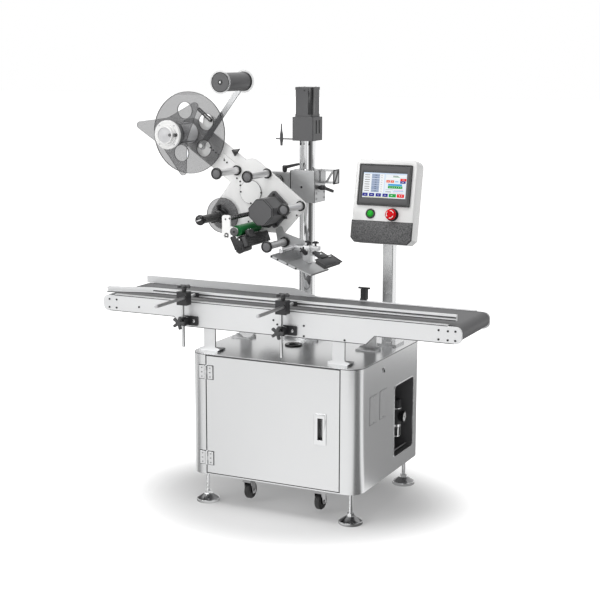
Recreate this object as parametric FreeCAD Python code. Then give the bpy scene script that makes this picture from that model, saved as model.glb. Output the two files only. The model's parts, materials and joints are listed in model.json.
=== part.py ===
# Flat surface labelling machine: cabinet on feet, belt conveyor, label head on a lift column, panel on a post.
# Millimetres. +X along the belt's travel, +Y away from the operator, +Z up. Origin on the floor, in the middle.
import FreeCAD, Part
import os
from math import radians, sin, cos, tan, pi, hypot, atan2, sqrt

V = FreeCAD.Vector

# Clearances
RUN_GAP = 0.3          # between pieces that move past each other
SHAFT_GAP = 0.08       # radial, between a shaft and its bore
SMALL = 1.0            # how far a cutting tool runs past a face

# Cabinet
FRONT_Y = -197.5       # cabinet front face
CAB_LEFT = -309.0
CAB_WIDTH = 659.0
CAB_DEPTH = 590.0
CAB_BOTTOM = 115.0
CAB_HEIGHT = 442.0
CAB_CORNER_R = 55.0
SHEET = 3.0
CAB_RIM = 7.0          # strip of the front above and below the door
DOOR_LEFT_INSET = 70.5
DOOR_WIDTH = 517.0
DOOR_GAP = 1.5
DOOR_RETURN = 18.0     # depth of the folded door edge
DOOR_STOP = 12.0       # width of the stop strip behind the door's edge
PULL_WIDTH = 46.0
PULL_HEIGHT = 110.0
PULL_RIGHT_INSET = 50.0
PULL_MID_Z = 336.0
PULL_SLOT_WIDTH = 20.0
PULL_SLOT_HEIGHT = 78.0
PULL_DEPTH = 16.0
PULL_FRAME_PROUD = 1.5
HINGE_LEAF_WIDTH = 27.0
HINGE_HEIGHT = 48.0
HINGE_LEAF_T = 3.0
HINGE_BARREL_R = 5.0
HINGE_PIN_R = 2.5
HINGE_LOW_Z = 177.0
HINGE_HIGH_Z = 491.0
GROMMET_X = -25.0
GROMMET_BACK = 266.0
GROMMET_R = 30.0
GROMMET_HOLE_R = 20.0
GROMMET_T = 4.0

# Recess for the air regulator, in the cabinet's right side
WINDOW_NEAR = 323.0    # behind the cabinet front
WINDOW_WIDTH = 185.0
WINDOW_LOW_Z = 167.0
WINDOW_HEIGHT = 263.0
WINDOW_R = 16.0
RECESS_DEPTH = 92.0
RECESS_WALL = 2.0
REG_BODY_R = 24.0
REG_BODY_H = 58.0
REG_BACK = 118.0       # regulator axis behind the window's near edge
REG_IN = 45.0          # regulator axis inside the cabinet side
REG_MID_Z = 290.0
GAUGE_R = 20.0
GAUGE_T = 14.0
BOWL_R = 19.0
BOWL_H = 55.0
SIDE_PLATE_SIZES = ((97.0, 343.0, 60.0, 98.0), (186.0, 343.0, 60.0, 100.0))
SIDE_PLATE_T = 1.0
SIDE_HOLE_BACK = 217.0
SIDE_HOLE_Z = 511.0
SIDE_HOLE_R = 9.0

# Electrics on the back wall inside the cabinet
TRAY_WIDTH = 440.0
TRAY_HEIGHT = 330.0
TRAY_T = 2.5
TRAY_STANDOFF = 20.0
TRAY_LOW_Z = 160.0
RAIL_HEIGHT = 35.0
RAIL_ROWS = (
    (90.0, 76.0, (36, 18, 18, 27, 45, 54, 12, 12, 12, 12, 12, 12)),
    (230.0, 100.0, (90, 70, 60, 45)),
)
DUCT_ROWS = (4.0, 138.0, 290.0)
DUCT_H = 34.0
DUCT_D = 36.0
RAIL_DEPTH = 7.5

# Levelling feet and casters
FOOT_INSET = 47.0
FOOT_PAD_R = 39.0
FOOT_PAD_EDGE = 7.0
FOOT_PAD_H = 26.0
FOOT_NECK_R = 15.0
FOOT_STUD_R = 7.0
FOOT_NUT_ACROSS = 22.0
FOOT_NUT_H = 11.0
FOOT_BOSS_R = 16.0
FOOT_BOSS_H = 30.0
FOOT_STUD_UP = 40.0    # stud above the cabinet's underside
CASTER_PITCH_X = 280.0
CASTER_INSET_Y = 92.0
CASTER_LIFT = 12.0     # wheel clear of the floor
CASTER_WHEEL_R = 31.0
CASTER_WHEEL_W = 22.0
CASTER_TRAIL = 14.0
CASTER_PLATE = 74.0
CASTER_PLATE_T = 3.0
CASTER_RACE_R = 23.0
CASTER_RACE_H = 9.0
CASTER_CHEEK_T = 3.0
CASTER_AXLE_R = 5.0
CASTER_CROWN_HALF = 18.0

# Conveyor
CONV_HALF_LENGTH = 694.0
CONV_NEAR = 40.0       # near side plate behind the cabinet front
CONV_WIDTH = 297.0
SIDE_T = 8.0
SIDE_TOP_Z = 728.0
SIDE_END_Z = 670.0
SIDE_BELLY_Z = 639.0
SIDE_END_R = 22.0
BELLY_LEFT_X = -362.0
BELLY_RIGHT_X = 372.0
ROLLER_R = 26.0
ROLLER_SHAFT_R = 8.0
BELT_T = 2.0
BELT_SIDE_GAP = 4.0
BED_T = 3.0
BED_FLANGE = 22.0
BED_END_GAP = 5.0
DRIVE_X = -134.0
DRIVE_R = 20.0
LEG_X = 252.0
LEG_WIDTH = 46.0
LEG_FOOT_WIDTH = 82.0
LEG_FOOT_DEPTH = 46.0
LEG_T = 6.0
LEG_LAP = 40.0         # how far a leg reaches up behind its side plate
TIE_X = (-420.0, 60.0, 420.0)
TIE_R = 8.0
MOTOR_WIDTH = 66.0
MOTOR_LOW_Z = 605.0
MOTOR_LENGTH = 150.0
GEARHEAD_LENGTH = 60.0
MOTOR_SHAFT_UP = 12.0  # output shaft above the gearhead's middle
MOTOR_CAP_L = 12.0
DRIVE_CASE_T = 26.0
DRIVE_CASE_WALL = 2.0
DRIVE_CASE_ROOM = 12.0 # round the pulleys
PULLEY_R = 15.0
TIMING_BELT_T = 2.0
TIMING_BELT_W = 10.0

# Side guides over the belt
RAIL_NEAR = 70.0       # near face of the front guide behind the cabinet front
RAIL_T = 12.0
RAIL_LOW_Z = 741.0
RAIL_H = 21.0
RAIL_BEND_X = -505.0
RAIL_LEFT_X = -665.0
RAIL_RIGHT_X = 663.0
RAIL_FLARE = 47.0
RAIL_SLOT = 8.0
RAIL_SLOT_DEPTH = 5.0
POST_XS = (-337.0, 54.0)
POST_NEAR = 10.0
POST_R = 6.0
POST_LOW_Z = 571.0
ROD_OFFSET_X = 15.0
ROD_NEAR = -195.0      # front end of the cross rods, measured from the cabinet front
ROD_R = 5.5
ROD_UP = 11.0          # cross rod's axis above the rail's lower edge
CROSS_BLOCK_W = 40.0
CROSS_BLOCK_D = 34.0
CROSS_BLOCK_SHIFT = 4.0    # block's middle to the right of its post
POST_KNOB_SHIFT = 6.0      # clamping screw to the right of the post
REAR_CLIP_XS = (-640.0, -330.0, -20.0)
REAR_CLIP_HALF = 16.0
CROSS_BLOCK_H = 48.0
CROSS_BLOCK_UP = 20.0  # block's top above the cross rod's axis
KNOB_R = 20.0
KNOB_H = 14.0
KNOB_STEM_R = 5.0
KNOB_STEM_H = 9.0
CLAMP_W = 26.0
CLAMP_H = 26.0
CLAMP_Z = 663.0
CLAMP_BASE_W = 58.0
CLAMP_BASE_T = 5.0
CLAMP_FRONT = 14.0     # clamp arm in front of the post axis
REAR_GUIDE_T = 2.5
REAR_GUIDE_UP = 5.0
REAR_GUIDE_BACK = 12.0 # in front of the far side plate's inner face
REAR_GUIDE_H = 26.0
REAR_GUIDE_LEFT_X = -678.0
REAR_GUIDE_TAPER_X = -48.0
REAR_GUIDE_TIP_X = 52.0
SENSOR_X = 218.0
SENSOR_W = 20.0
SENSOR_D = 24.0
SENSOR_H = 44.0
SENSOR_BAR = 44.0

# Operator panel, leaning back on its post
PANEL_LEAN = 10.8
PANEL_X = 155.0        # lower left corner of the screen bezel
PANEL_NEAR = 425.0
PANEL_Z = 1065.0
BEZEL_W = 200.0
BEZEL_H = 146.0
BEZEL_T = 6.0
SCREEN_W = 168.0
SCREEN_H = 90.0
SCREEN_LEFT = 16.0
SCREEN_LOW = 27.0
SCREEN_RECESS = 1.5
HOUSING_LEFT = -18.0
HOUSING_RIGHT = 218.0
HOUSING_TOP = 164.0
HOUSING_JOIN = -56.0
HOUSING_LOW = -136.0
HOUSING_DEPTH = 66.0
HOUSING_R = 10.0
CHIN_CHAMFER = 16.0
CHIN_PROUD = 2.0
GREEN_U = 53.0
RED_U = 138.0
BUTTON_V = -31.0
GREEN_R = 12.0
GREEN_PROUD = 7.0
RED_R = 20.0
RED_STEM_R = 10.0
RED_CAP_H = 14.0
RED_STANDOFF = 9.0
COLLAR_R = 15.0
COLLAR_T = 3.0
RED_COLLAR_R = 23.0
BUTTON_STEM = 14.0
BUTTON_TRAVEL = 4.0
PANEL_POST_X = 275.0
PANEL_POST_NEAR = 424.0
PANEL_POST_W = 40.0
PANEL_POST_FLANGE = 90.0
PANEL_POST_FLANGE_T = 8.0

# Lift column
COLUMN_X = -45.0
COLUMN_BACK = 430.0
COLUMN_R = 25.0
COLUMN_TOP_Z = 1289.0
COLUMN_BASE_W = 150.0
COLUMN_BASE_D = 110.0
COLUMN_BASE_T = 14.0
COLUMN_BASE_SHIFT = 10.0   # base's middle to the left of the column's axis
NECK_WALL = 9.0
NECK_H = 24.0
SCREW_DX = -38.0
SCREW_DY = 16.0
SCREW_R = 6.0
SCREW_END = 4.0        # how deep the screw's ends sit in their bearings
GEARBOX_W = 84.0
GEARBOX_H = 86.0
GEARBOX_DX = -5.0
VENT_OFFSETS = (-14.0, 12.0)
VENT_W = 10.0
VENT_DEPTH = 4.0
VENT_LOW = 26.0
VENT_TOP_INSET = 12.0
LIFT_MOTOR_W = 70.0
LIFT_MOTOR_H = 107.0
LIFT_MOTOR_NOTCH = 9.0
LIFT_MOTOR_END_T = 10.0
PROBE_X = -141.0
PROBE_BACK = 400.0
PROBE_LOW_Z = 1269.0
PROBE_HIGH_Z = 1349.0
PROBE_R = 6.0
PROBE_ROD_R = 2.5
PROBE_ROD_Z = 1294.0
PROBE_ROD_PAST = 22.0   # rod end past the probe's axis
BLOCK_W = 98.0
BLOCK_AHEAD = 50.0     # block's front face ahead of the column's axis
BLOCK_D = 94.0
BLOCK_LOW_Z = 1066.0
BLOCK_H = 117.0
ARM_SET_BACK = 4.0     # arm's front face behind the block's
ARM_D = 40.0
ARM_HIGH_Z = 1172.0
ARM_SHOULDER_X = -190.0
CLAMP_WALL = 14.0      # metal round the tilt bar
CLAMP_SLIT = 2.0
ARM_BOSS_X = -146.0
ARM_BOSS_Z = 1143.0
ARM_BOSS_R = 19.0
ARM_BOSS_PROUD = 8.0
BLOCK_LEVER_IN = 36.0  # block lever's axis behind the block's front face
BLOCK_LEVER_UP = 54.0  # and above its underside
SIDE_BRACKET_W = 56.0
SIDE_BRACKET_D = 44.0
SIDE_BRACKET_H = 48.0
SIDE_BRACKET_T = 4.0
LEVER_X = -124.0
LEVER_IN = 9.0         # tilt lever's axis behind the arm's front face
LEVER_HUB_R = 9.0
LEVER_HUB_H = 26.0
LEVER_LENGTH = 58.0
LEVER_STUD_R = 4.0
LEVER_STUD_IN = 10.0
TILT_LEVER_TURN = 2.0
BLOCK_LEVER_TURN = -18.0

# Label head: plate and tilt bar
PLATE_NEAR = 285.0     # front face of the head plate behind the cabinet front
PLATE_T = 10.0
TILT_X = -208.0
TILT_Z = 1106.0
TILT_BAR_R = 20.0
TILT_COVER_R = 43.0
TILT_COVER_T = 4.0
PLATE_LEFT = (-424.0, 962.0, 50.0)
PLATE_LOW_RIGHT = (-74.0, 962.0, 6.0)
PLATE_RIGHT = (21.0, 1067.0, 20.0)
PLATE_TOP = (-213.5, 1246.0, 43.0)
UNWIND_X = -456.0
UNWIND_Z = 1314.0
ARM_PLATE_HALF = 53.0
FACE_STRIP_W = 70.0
FACE_STRIP_FROM = 30.0 # along the reel arm, from the reel's axis
ARM_PAST_ROLLER = 20.0
ARM_HOLES = (74.0, 90.0, 106.0, 122.0, 150.0, 166.0)
ARM_HOLE_R = 3.5
ARM_HOLE_IN = 14.0     # hole row inside the face strip's edge
LUG_SPAN = (24.0, 64.0)
DANCER_PIN_L = 11.0

# Unwind reel
DISC_R = 150.0
DISC_T = 4.0
DISC_HOLE_R = 31.0
DISC_HOLE_PITCH_R = 83.0
DISC_HOLE_FIRST = 30.0
DISC_HOLES = 5
DISC_STANDOFF = 12.0   # disc in front of the head plate
HUB_R = 26.0
MANDREL_R = 38.0
MANDREL_LENGTH = 142.0
REEL_SHAFT_R = 10.0
FLANGE_TIP_R = 143.0
FLANGE_WAIST_R = 62.0
FLANGE_ROUND = 25.0
FLANGE_FIRST = 47.6
FLANGE_T = 4.0
FLANGE_BACK = 24.0     # outer flange behind the mandrel's front end
LOCK_R = 52.0
LOCK_T = 12.0
LOCK_HUB_R = 31.0
LOCK_HUB_T = 16.0
SLEEVE_R = 46.0
SLEEVE_BEHIND = 6.0     # the flange's sleeve reaches this far behind its lobes
GROOVE_W = 2.0          # shallow groove round the mandrel, just behind the sleeve
GROOVE_DEEP = 0.8

# Dancer arm with its roller, and the sensor barrel beside it
DANCER_PIVOT_X = -410.0
DANCER_PIVOT_Z = 1267.0
DANCER_ROLLER_X = -230.0
DANCER_ROLLER_Z = 1503.0
DANCER_ARM_W = 20.0
DANCER_ARM_T = 6.0
DANCER_ROLLER_R = 30.0
DANCER_FLANGE_R = 35.5
DANCER_FLANGE_T = 4.0
DANCER_FRONT = 101.0
DANCER_PIN_R = 8.0
BARREL_X = -385.0
BARREL_Z = 1354.0
BARREL_R = 22.0
BARREL_LENGTH = 26.0

# Guide rollers: place, and front end behind the cabinet front
GUIDE_ROLLERS = (
    (-264.0, 1182.0, 126.0),
    (-140.0, 1176.0, 125.0),
    (-6.0, 1065.0, 144.0),
    (-67.0, 932.0, 131.0),
)
TUBE_R = 12.5
CAP_R = 21.0
CAP_L = 9.0
COLLAR_BACK_R = 18.5
COLLAR_L = 9.0
ROLLER_PIN_R = 5.0

# Feed: motor, driven roller, pressure roller
FEED_MOTOR_X = -108.0
FEED_MOTOR_Z = 1048.0
FEED_MOTOR_W = 86.0
FEED_MOTOR_CHAMFER = 20.0
FEED_MOTOR_TURN = 47.0
FEED_MOTOR_FRONT = 165.0
FEED_FLANGE_W = 100.0
FEED_FLANGE_T = 12.0
FEED_X = -178.0
FEED_Z = 983.0
FEED_R = 20.0
FEED_PIN_R = 6.0
PRESS_R = 18.0
PRESS_ANGLE = -70.0
FEED_FACE_GAP = 12.0   # covering short of the cheeks
FEED_PULLEY_R = 14.0
FEED_PULLEY_W = 14.0
CHEEK_T = 16.0
CHEEK_FRONT = 110.0
CHEEK_HALF = 25.0
LINK_T = 8.0
LINK_FRONT = 100.0
LINK_ROD_X = -212.0
LINK_ROD_Z = 1026.0
LINK_ROD_R = 6.0
LINK_RING_X = -213.0
LINK_RING_Z = 966.0

# Rewind spindle
REWIND_X = -322.0
REWIND_Z = 1015.0
REWIND_FRONT = 103.0
REWIND_TUBE_R = 12.5
REWIND_BULB_R = 19.0
REWIND_DISC_R = 65.0
REWIND_HUB_R = 22.0
REWIND_FIN_R = 40.0

# Peel plate under the head, with its fittings
PEEL_LEFT_X = -49.0
PEEL_LEFT_Z = 905.0
PEEL_RIGHT_X = 109.0
PEEL_RIGHT_Z = 845.0
PEEL_FRONT = 130.0
PEEL_T = 4.0
PEEL_LIP = 9.0
GUSSET_T = 7.0
BRUSH_LEFT_X = 118.0
BRUSH_LEFT_Z = 896.0
BRUSH_RIGHT_X = 161.0
BRUSH_RIGHT_Z = 873.0
BRUSH_T = 4.0
BRUSH_FRONT = 140.0
BRUSH_BACK = 275.0
PEEL_BAR_X = -17.0
PEEL_BAR_Z = 919.0
PEEL_BAR_R = 9.0
LIP_SHARE = 0.62       # of the peel plate's length
GUSSET_REACH = 62.0
GUSSET_POINTS = ((12.0, 940.0, 6), (-72.0, 966.0, 4), (-84.0, 990.0, 6), (-104.0, 976.0, 6), (-96.0, 930.0, 14),
                 (-80.0, 912.0, 10))
FIT_POST_ON = (80.0, 92.0, 108.0)   # the post's foot and middle, along the peel plate
FIT_POST_TOP_Z = 930.0
FIT_POST_NEAR = 236.0
FIT_POST_D = 26.0
BRUSH_ARM_Z = (898.0, 912.0)
BAR_HOLDER_Z = (906.0, 926.0)
ADJUSTER_R = 9.0
ADJUSTER_STUD_R = 4.0
CROSS_KNOB_Z = 918.0
CROSS_KNOB_NEAR = 204.0
FIT_RAIL_L = 34.0
FIT_RAIL_Z = (914.0, 928.0)


# Shape helpers
def solid_box(x, y, z):
    return Part.makeBox(x[1] - x[0], y[1] - y[0], z[1] - z[0], V(x[0], y[0], z[0]))


def rod(axis, a, b, r, lo, hi):
    """A cylinder along one axis; a and b are the other two coordinates in X, Y, Z order."""
    starts = {"x": V(lo, a, b), "y": V(a, lo, b), "z": V(a, b, lo)}
    ways = {"x": V(1, 0, 0), "y": V(0, 1, 0), "z": V(0, 0, 1)}
    return Part.makeCylinder(r, hi - lo, starts[axis], ways[axis])


PLANES = {
    "xz": (lambda u, v, w: V(u, w, v), V(0, 1, 0)),
    "xy": (lambda u, v, w: V(u, v, w), V(0, 0, 1)),
    "yz": (lambda u, v, w: V(w, u, v), V(1, 0, 0)),
}


def outline(corners, plane, w):
    """A closed wire through corners (u, v, radius); a radius of 0 leaves the corner sharp."""
    place = PLANES[plane][0]
    spans = []
    count = len(corners)
    for i in range(count):
        u, v, r = corners[i]
        pu, pv = corners[i - 1][:2]
        nu, nv = corners[(i + 1) % count][:2]
        if r == 0:
            spans.append(((u, v), None, (u, v)))
            continue
        a = (pu - u, pv - v)
        b = (nu - u, nv - v)
        la = hypot(*a)
        lb = hypot(*b)
        a = (a[0] / la, a[1] / la)
        b = (b[0] / lb, b[1] / lb)
        half = atan2(abs(a[0] * b[1] - a[1] * b[0]), a[0] * b[0] + a[1] * b[1]) / 2
        back = r / tan(half)
        mid = (a[0] + b[0], a[1] + b[1])
        lm = hypot(*mid)
        reach = r / sin(half) - r
        start = (u + a[0] * back, v + a[1] * back)
        end = (u + b[0] * back, v + b[1] * back)
        spans.append((start, (u + mid[0] / lm * reach, v + mid[1] / lm * reach), end))
    edges = []
    for i in range(count):
        start, mid, end = spans[i]
        if mid:
            edges.append(Part.Arc(place(*start, w), place(*mid, w), place(*end, w)).toShape())
        following = spans[(i + 1) % count][0]
        if hypot(following[0] - end[0], following[1] - end[1]) > 1e-6:
            edges.append(Part.LineSegment(place(*end, w), place(*following, w)).toShape())
    return Part.Wire(Part.__sortEdges__(edges))


def prism(corners, plane, lo, hi):
    face = Part.Face(outline(corners, plane, lo))
    return face.extrude(PLANES[plane][1] * (hi - lo))


def rounded_rect(u, v, r):
    return [(u[0], v[0], r), (u[1], v[0], r), (u[1], v[1], r), (u[0], v[1], r)]


def turned(profile, axis, a, b):
    """A solid of revolution from (radius, height) pairs about an axis through a, b."""
    placers = {
        "y": lambda r, h: V(a + r, h, b),
        "z": lambda r, h: V(a + r, b, h),
        "x": lambda r, h: V(h, a + r, b),
    }
    centres = {"y": V(a, 0, b), "z": V(a, b, 0), "x": V(0, a, b)}
    ways = {"x": V(1, 0, 0), "y": V(0, 1, 0), "z": V(0, 0, 1)}
    points = [placers[axis](r, h) for r, h in profile]
    face = Part.Face(Part.makePolygon(points + points[:1]))
    return face.revolve(centres[axis], ways[axis], 360)


def joined(shapes):
    whole = shapes[0]
    for extra in shapes[1:]:
        whole = whole.fuse(extra)
    return whole.removeSplitter()


def cut(whole, tools):
    for tool in tools:
        whole = whole.cut(tool)
    return whole


def polar(x, z, r, angle):
    return x + r * cos(radians(angle)), z + r * sin(radians(angle))


def star_knob(axis, a, b, face, outward, r=KNOB_R, h=KNOB_H, lobes=5, stem_h=KNOB_STEM_H):
    """A lobed clamping knob; face is where its stem leaves the piece, outward is +1 or -1."""
    lo, hi = sorted((face + outward * stem_h, face + outward * (stem_h + h)))
    grip = rod(axis, a, b, r, lo, hi)
    for i in range(lobes):
        ca, cb = polar(a, b, r * 1.16, 360.0 / lobes * (i + 0.5))
        grip = grip.cut(rod(axis, ca, cb, r * 0.42, lo - SMALL, hi + SMALL))
    s_lo, s_hi = sorted((face, face + outward * (stem_h + SMALL)))
    return joined([grip, rod(axis, a, b, KNOB_STEM_R, s_lo, s_hi)])


parts = {}


def keep(name, shape):
    parts[name] = shape


# Values that several pieces share
cab_x = (CAB_LEFT, CAB_LEFT + CAB_WIDTH)
cab_y = (FRONT_Y, FRONT_Y + CAB_DEPTH)
cab_z = (CAB_BOTTOM, CAB_BOTTOM + CAB_HEIGHT)
cab_top = cab_z[1]
cab_mid_x = sum(cab_x) / 2
door_x = (CAB_LEFT + DOOR_LEFT_INSET, CAB_LEFT + DOOR_LEFT_INSET + DOOR_WIDTH)
door_z = (CAB_BOTTOM + CAB_RIM, cab_top - CAB_RIM)
hinge_x = door_x[0] - DOOR_GAP / 2
hinge_y = FRONT_Y - HINGE_BARREL_R
conv_y = (FRONT_Y + CONV_NEAR, FRONT_Y + CONV_NEAR + CONV_WIDTH)
inner_y = (conv_y[0] + SIDE_T, conv_y[1] - SIDE_T)
roller_z = (SIDE_TOP_Z + SIDE_END_Z) / 2 + 3.0
belt_in_r = ROLLER_R + RUN_GAP
belt_out_r = belt_in_r + BELT_T
belt_top = roller_z + belt_out_r
roller_x = CONV_HALF_LENGTH - belt_out_r
belt_y = (inner_y[0] + BELT_SIDE_GAP, inner_y[1] - BELT_SIDE_GAP)
column_y = FRONT_Y + COLUMN_BACK
block_front = column_y - BLOCK_AHEAD
arm_front = block_front + ARM_SET_BACK
plate_y = (FRONT_Y + PLATE_NEAR, FRONT_Y + PLATE_NEAR + PLATE_T)


# Cabinet
def make_cabinet():
    shell = prism(rounded_rect(cab_x, cab_y, CAB_CORNER_R), "xy", *cab_z)
    inner_x = (cab_x[0] + SHEET, cab_x[1] - SHEET)
    inner_yy = (cab_y[0] + SHEET, cab_y[1] - SHEET)
    inner_z = (cab_z[0] + SHEET, cab_z[1] - SHEET)
    shell = shell.cut(prism(rounded_rect(inner_x, inner_yy, CAB_CORNER_R - SHEET), "xy", *inner_z))
    gap_x = (door_x[0] - DOOR_GAP, door_x[1] + DOOR_GAP)
    gap_z = (door_z[0] - DOOR_GAP, door_z[1] + DOOR_GAP)
    shell = shell.cut(solid_box(gap_x, (cab_y[0] - SMALL, cab_y[0] + SHEET + SMALL), gap_z))
    # Folded edges beside the door, each ending in a stop strip
    stop_y = cab_y[0] + DOOR_RETURN + RUN_GAP
    pieces = [shell]
    for side, way in ((gap_x[0], 1), (gap_x[1], -1)):
        wall_x = sorted((side, side - way * SHEET))
        pieces.append(solid_box(wall_x, (cab_y[0], stop_y + SHEET), (inner_z[0], inner_z[1])))
        strip_x = sorted((side - way * SHEET, side + way * DOOR_STOP))
        pieces.append(solid_box(strip_x, (stop_y, stop_y + SHEET), (inner_z[0], inner_z[1])))
    shell = joined(pieces)
    # Bosses that take the threaded studs of the feet
    tools = []
    for x in (cab_x[0] + FOOT_INSET, cab_x[1] - FOOT_INSET):
        for y in (cab_y[0] + FOOT_INSET, cab_y[1] - FOOT_INSET):
            shell = shell.fuse(rod("z", x, y, FOOT_BOSS_R, cab_z[0], cab_z[0] + FOOT_BOSS_H))
            tools.append(rod("z", x, y, FOOT_STUD_R + SHAFT_GAP, cab_z[0] - SMALL, cab_z[0] + FOOT_BOSS_H + SMALL))
    # Window, sensor hole and cable hole
    near = cab_y[0] + WINDOW_NEAR
    window = rounded_rect((near, near + WINDOW_WIDTH), (WINDOW_LOW_Z, WINDOW_LOW_Z + WINDOW_HEIGHT), WINDOW_R)
    tools.append(prism(window, "yz", cab_x[1] - SHEET - SMALL, cab_x[1] + SMALL))
    tools.append(rod("x", cab_y[0] + SIDE_HOLE_BACK, SIDE_HOLE_Z, SIDE_HOLE_R,
                     cab_x[1] - SHEET - SMALL, cab_x[1] + SMALL))
    grommet_y = cab_y[0] + GROMMET_BACK
    shell = shell.fuse(rod("z", GROMMET_X, grommet_y, GROMMET_R, cab_top - SHEET, cab_top + GROMMET_T))
    tools.append(rod("z", GROMMET_X, grommet_y, GROMMET_HOLE_R, cab_top - SHEET - SMALL, cab_top + GROMMET_T + SMALL))
    shell = cut(shell, tools)
    # Blank plates on the right side
    for back, low, wide, high in SIDE_PLATE_SIZES:
        y = cab_y[0] + back
        plate = prism(rounded_rect((y, y + wide), (low, low + high), 3.0), "yz", cab_x[1] - SMALL,
                      cab_x[1] + SIDE_PLATE_T)
        shell = shell.fuse(plate)
    # Fixed hinge leaves with their pins
    for mid_z in (HINGE_LOW_Z, HINGE_HIGH_Z):
        shell = shell.fuse(hinge_leaf(mid_z, -1))
    keep("cabinet_shell", shell.removeSplitter())


def hinge_leaf(mid_z, side):
    """One leaf: side -1 is the fixed leaf with the pin, side +1 the door's leaf with the long barrel."""
    third = HINGE_HEIGHT / 3
    y_face = (FRONT_Y - HINGE_LEAF_T, FRONT_Y)
    leaf_x = sorted((hinge_x + side * (HINGE_BARREL_R + 1.0), hinge_x + side * HINGE_LEAF_WIDTH))
    low = mid_z - HINGE_HEIGHT / 2
    leaf = prism(rounded_rect(leaf_x, (low, low + HINGE_HEIGHT), 2.0), "xz", *y_face)
    if side < 0:
        spans = ((low, low + third - RUN_GAP / 2), (low + 2 * third + RUN_GAP / 2, low + HINGE_HEIGHT))
    else:
        spans = ((low + third + RUN_GAP / 2, low + 2 * third - RUN_GAP / 2),)
    pieces = [leaf]
    for z in spans:
        pieces.append(rod("z", hinge_x, hinge_y, HINGE_BARREL_R, *z))
        tongue_x = sorted((hinge_x, leaf_x[0] if side > 0 else leaf_x[1]))
        pieces.append(solid_box(tongue_x, y_face, z))
    whole = joined(pieces)
    if side < 0:
        return whole.fuse(rod("z", hinge_x, hinge_y, HINGE_PIN_R, low, low + HINGE_HEIGHT)).removeSplitter()
    return whole.cut(rod("z", hinge_x, hinge_y, HINGE_PIN_R + SHAFT_GAP, low - SMALL, low + HINGE_HEIGHT + SMALL))


def make_door():
    panel = solid_box(door_x, (FRONT_Y, FRONT_Y + DOOR_RETURN), door_z)
    inside_x = (door_x[0] + SHEET, door_x[1] - SHEET)
    inside_z = (door_z[0] + SHEET, door_z[1] - SHEET)
    panel = panel.cut(solid_box(inside_x, (FRONT_Y + SHEET, FRONT_Y + DOOR_RETURN + SMALL), inside_z))
    # Pull: a frame round a pressed cup with a slot for the fingers
    px = door_x[1] - PULL_RIGHT_INSET
    pull_x = (px - PULL_WIDTH, px)
    pull_z = (PULL_MID_Z - PULL_HEIGHT / 2, PULL_MID_Z + PULL_HEIGHT / 2)
    mid_x = sum(pull_x) / 2
    slot_x = (mid_x - PULL_SLOT_WIDTH / 2, mid_x + PULL_SLOT_WIDTH / 2)
    slot_z = (PULL_MID_Z - PULL_SLOT_HEIGHT / 2, PULL_MID_Z + PULL_SLOT_HEIGHT / 2)
    cup_x = (slot_x[0] - SHEET, slot_x[1] + SHEET)
    cup_z = (slot_z[0] - SHEET, slot_z[1] + SHEET)
    panel = panel.fuse(prism(rounded_rect(pull_x, pull_z, 4.0), "xz", FRONT_Y - PULL_FRAME_PROUD, FRONT_Y + SHEET))
    panel = panel.fuse(solid_box(cup_x, (FRONT_Y, FRONT_Y + PULL_DEPTH + 1.5), cup_z))
    panel = panel.cut(prism(rounded_rect(slot_x, slot_z, 3.0), "xz", FRONT_Y - PULL_FRAME_PROUD - SMALL,
                            FRONT_Y + PULL_DEPTH))
    for mid_z in (HINGE_LOW_Z, HINGE_HIGH_Z):
        panel = panel.fuse(hinge_leaf(mid_z, 1))
    keep("cabinet_door", panel.removeSplitter())


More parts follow.
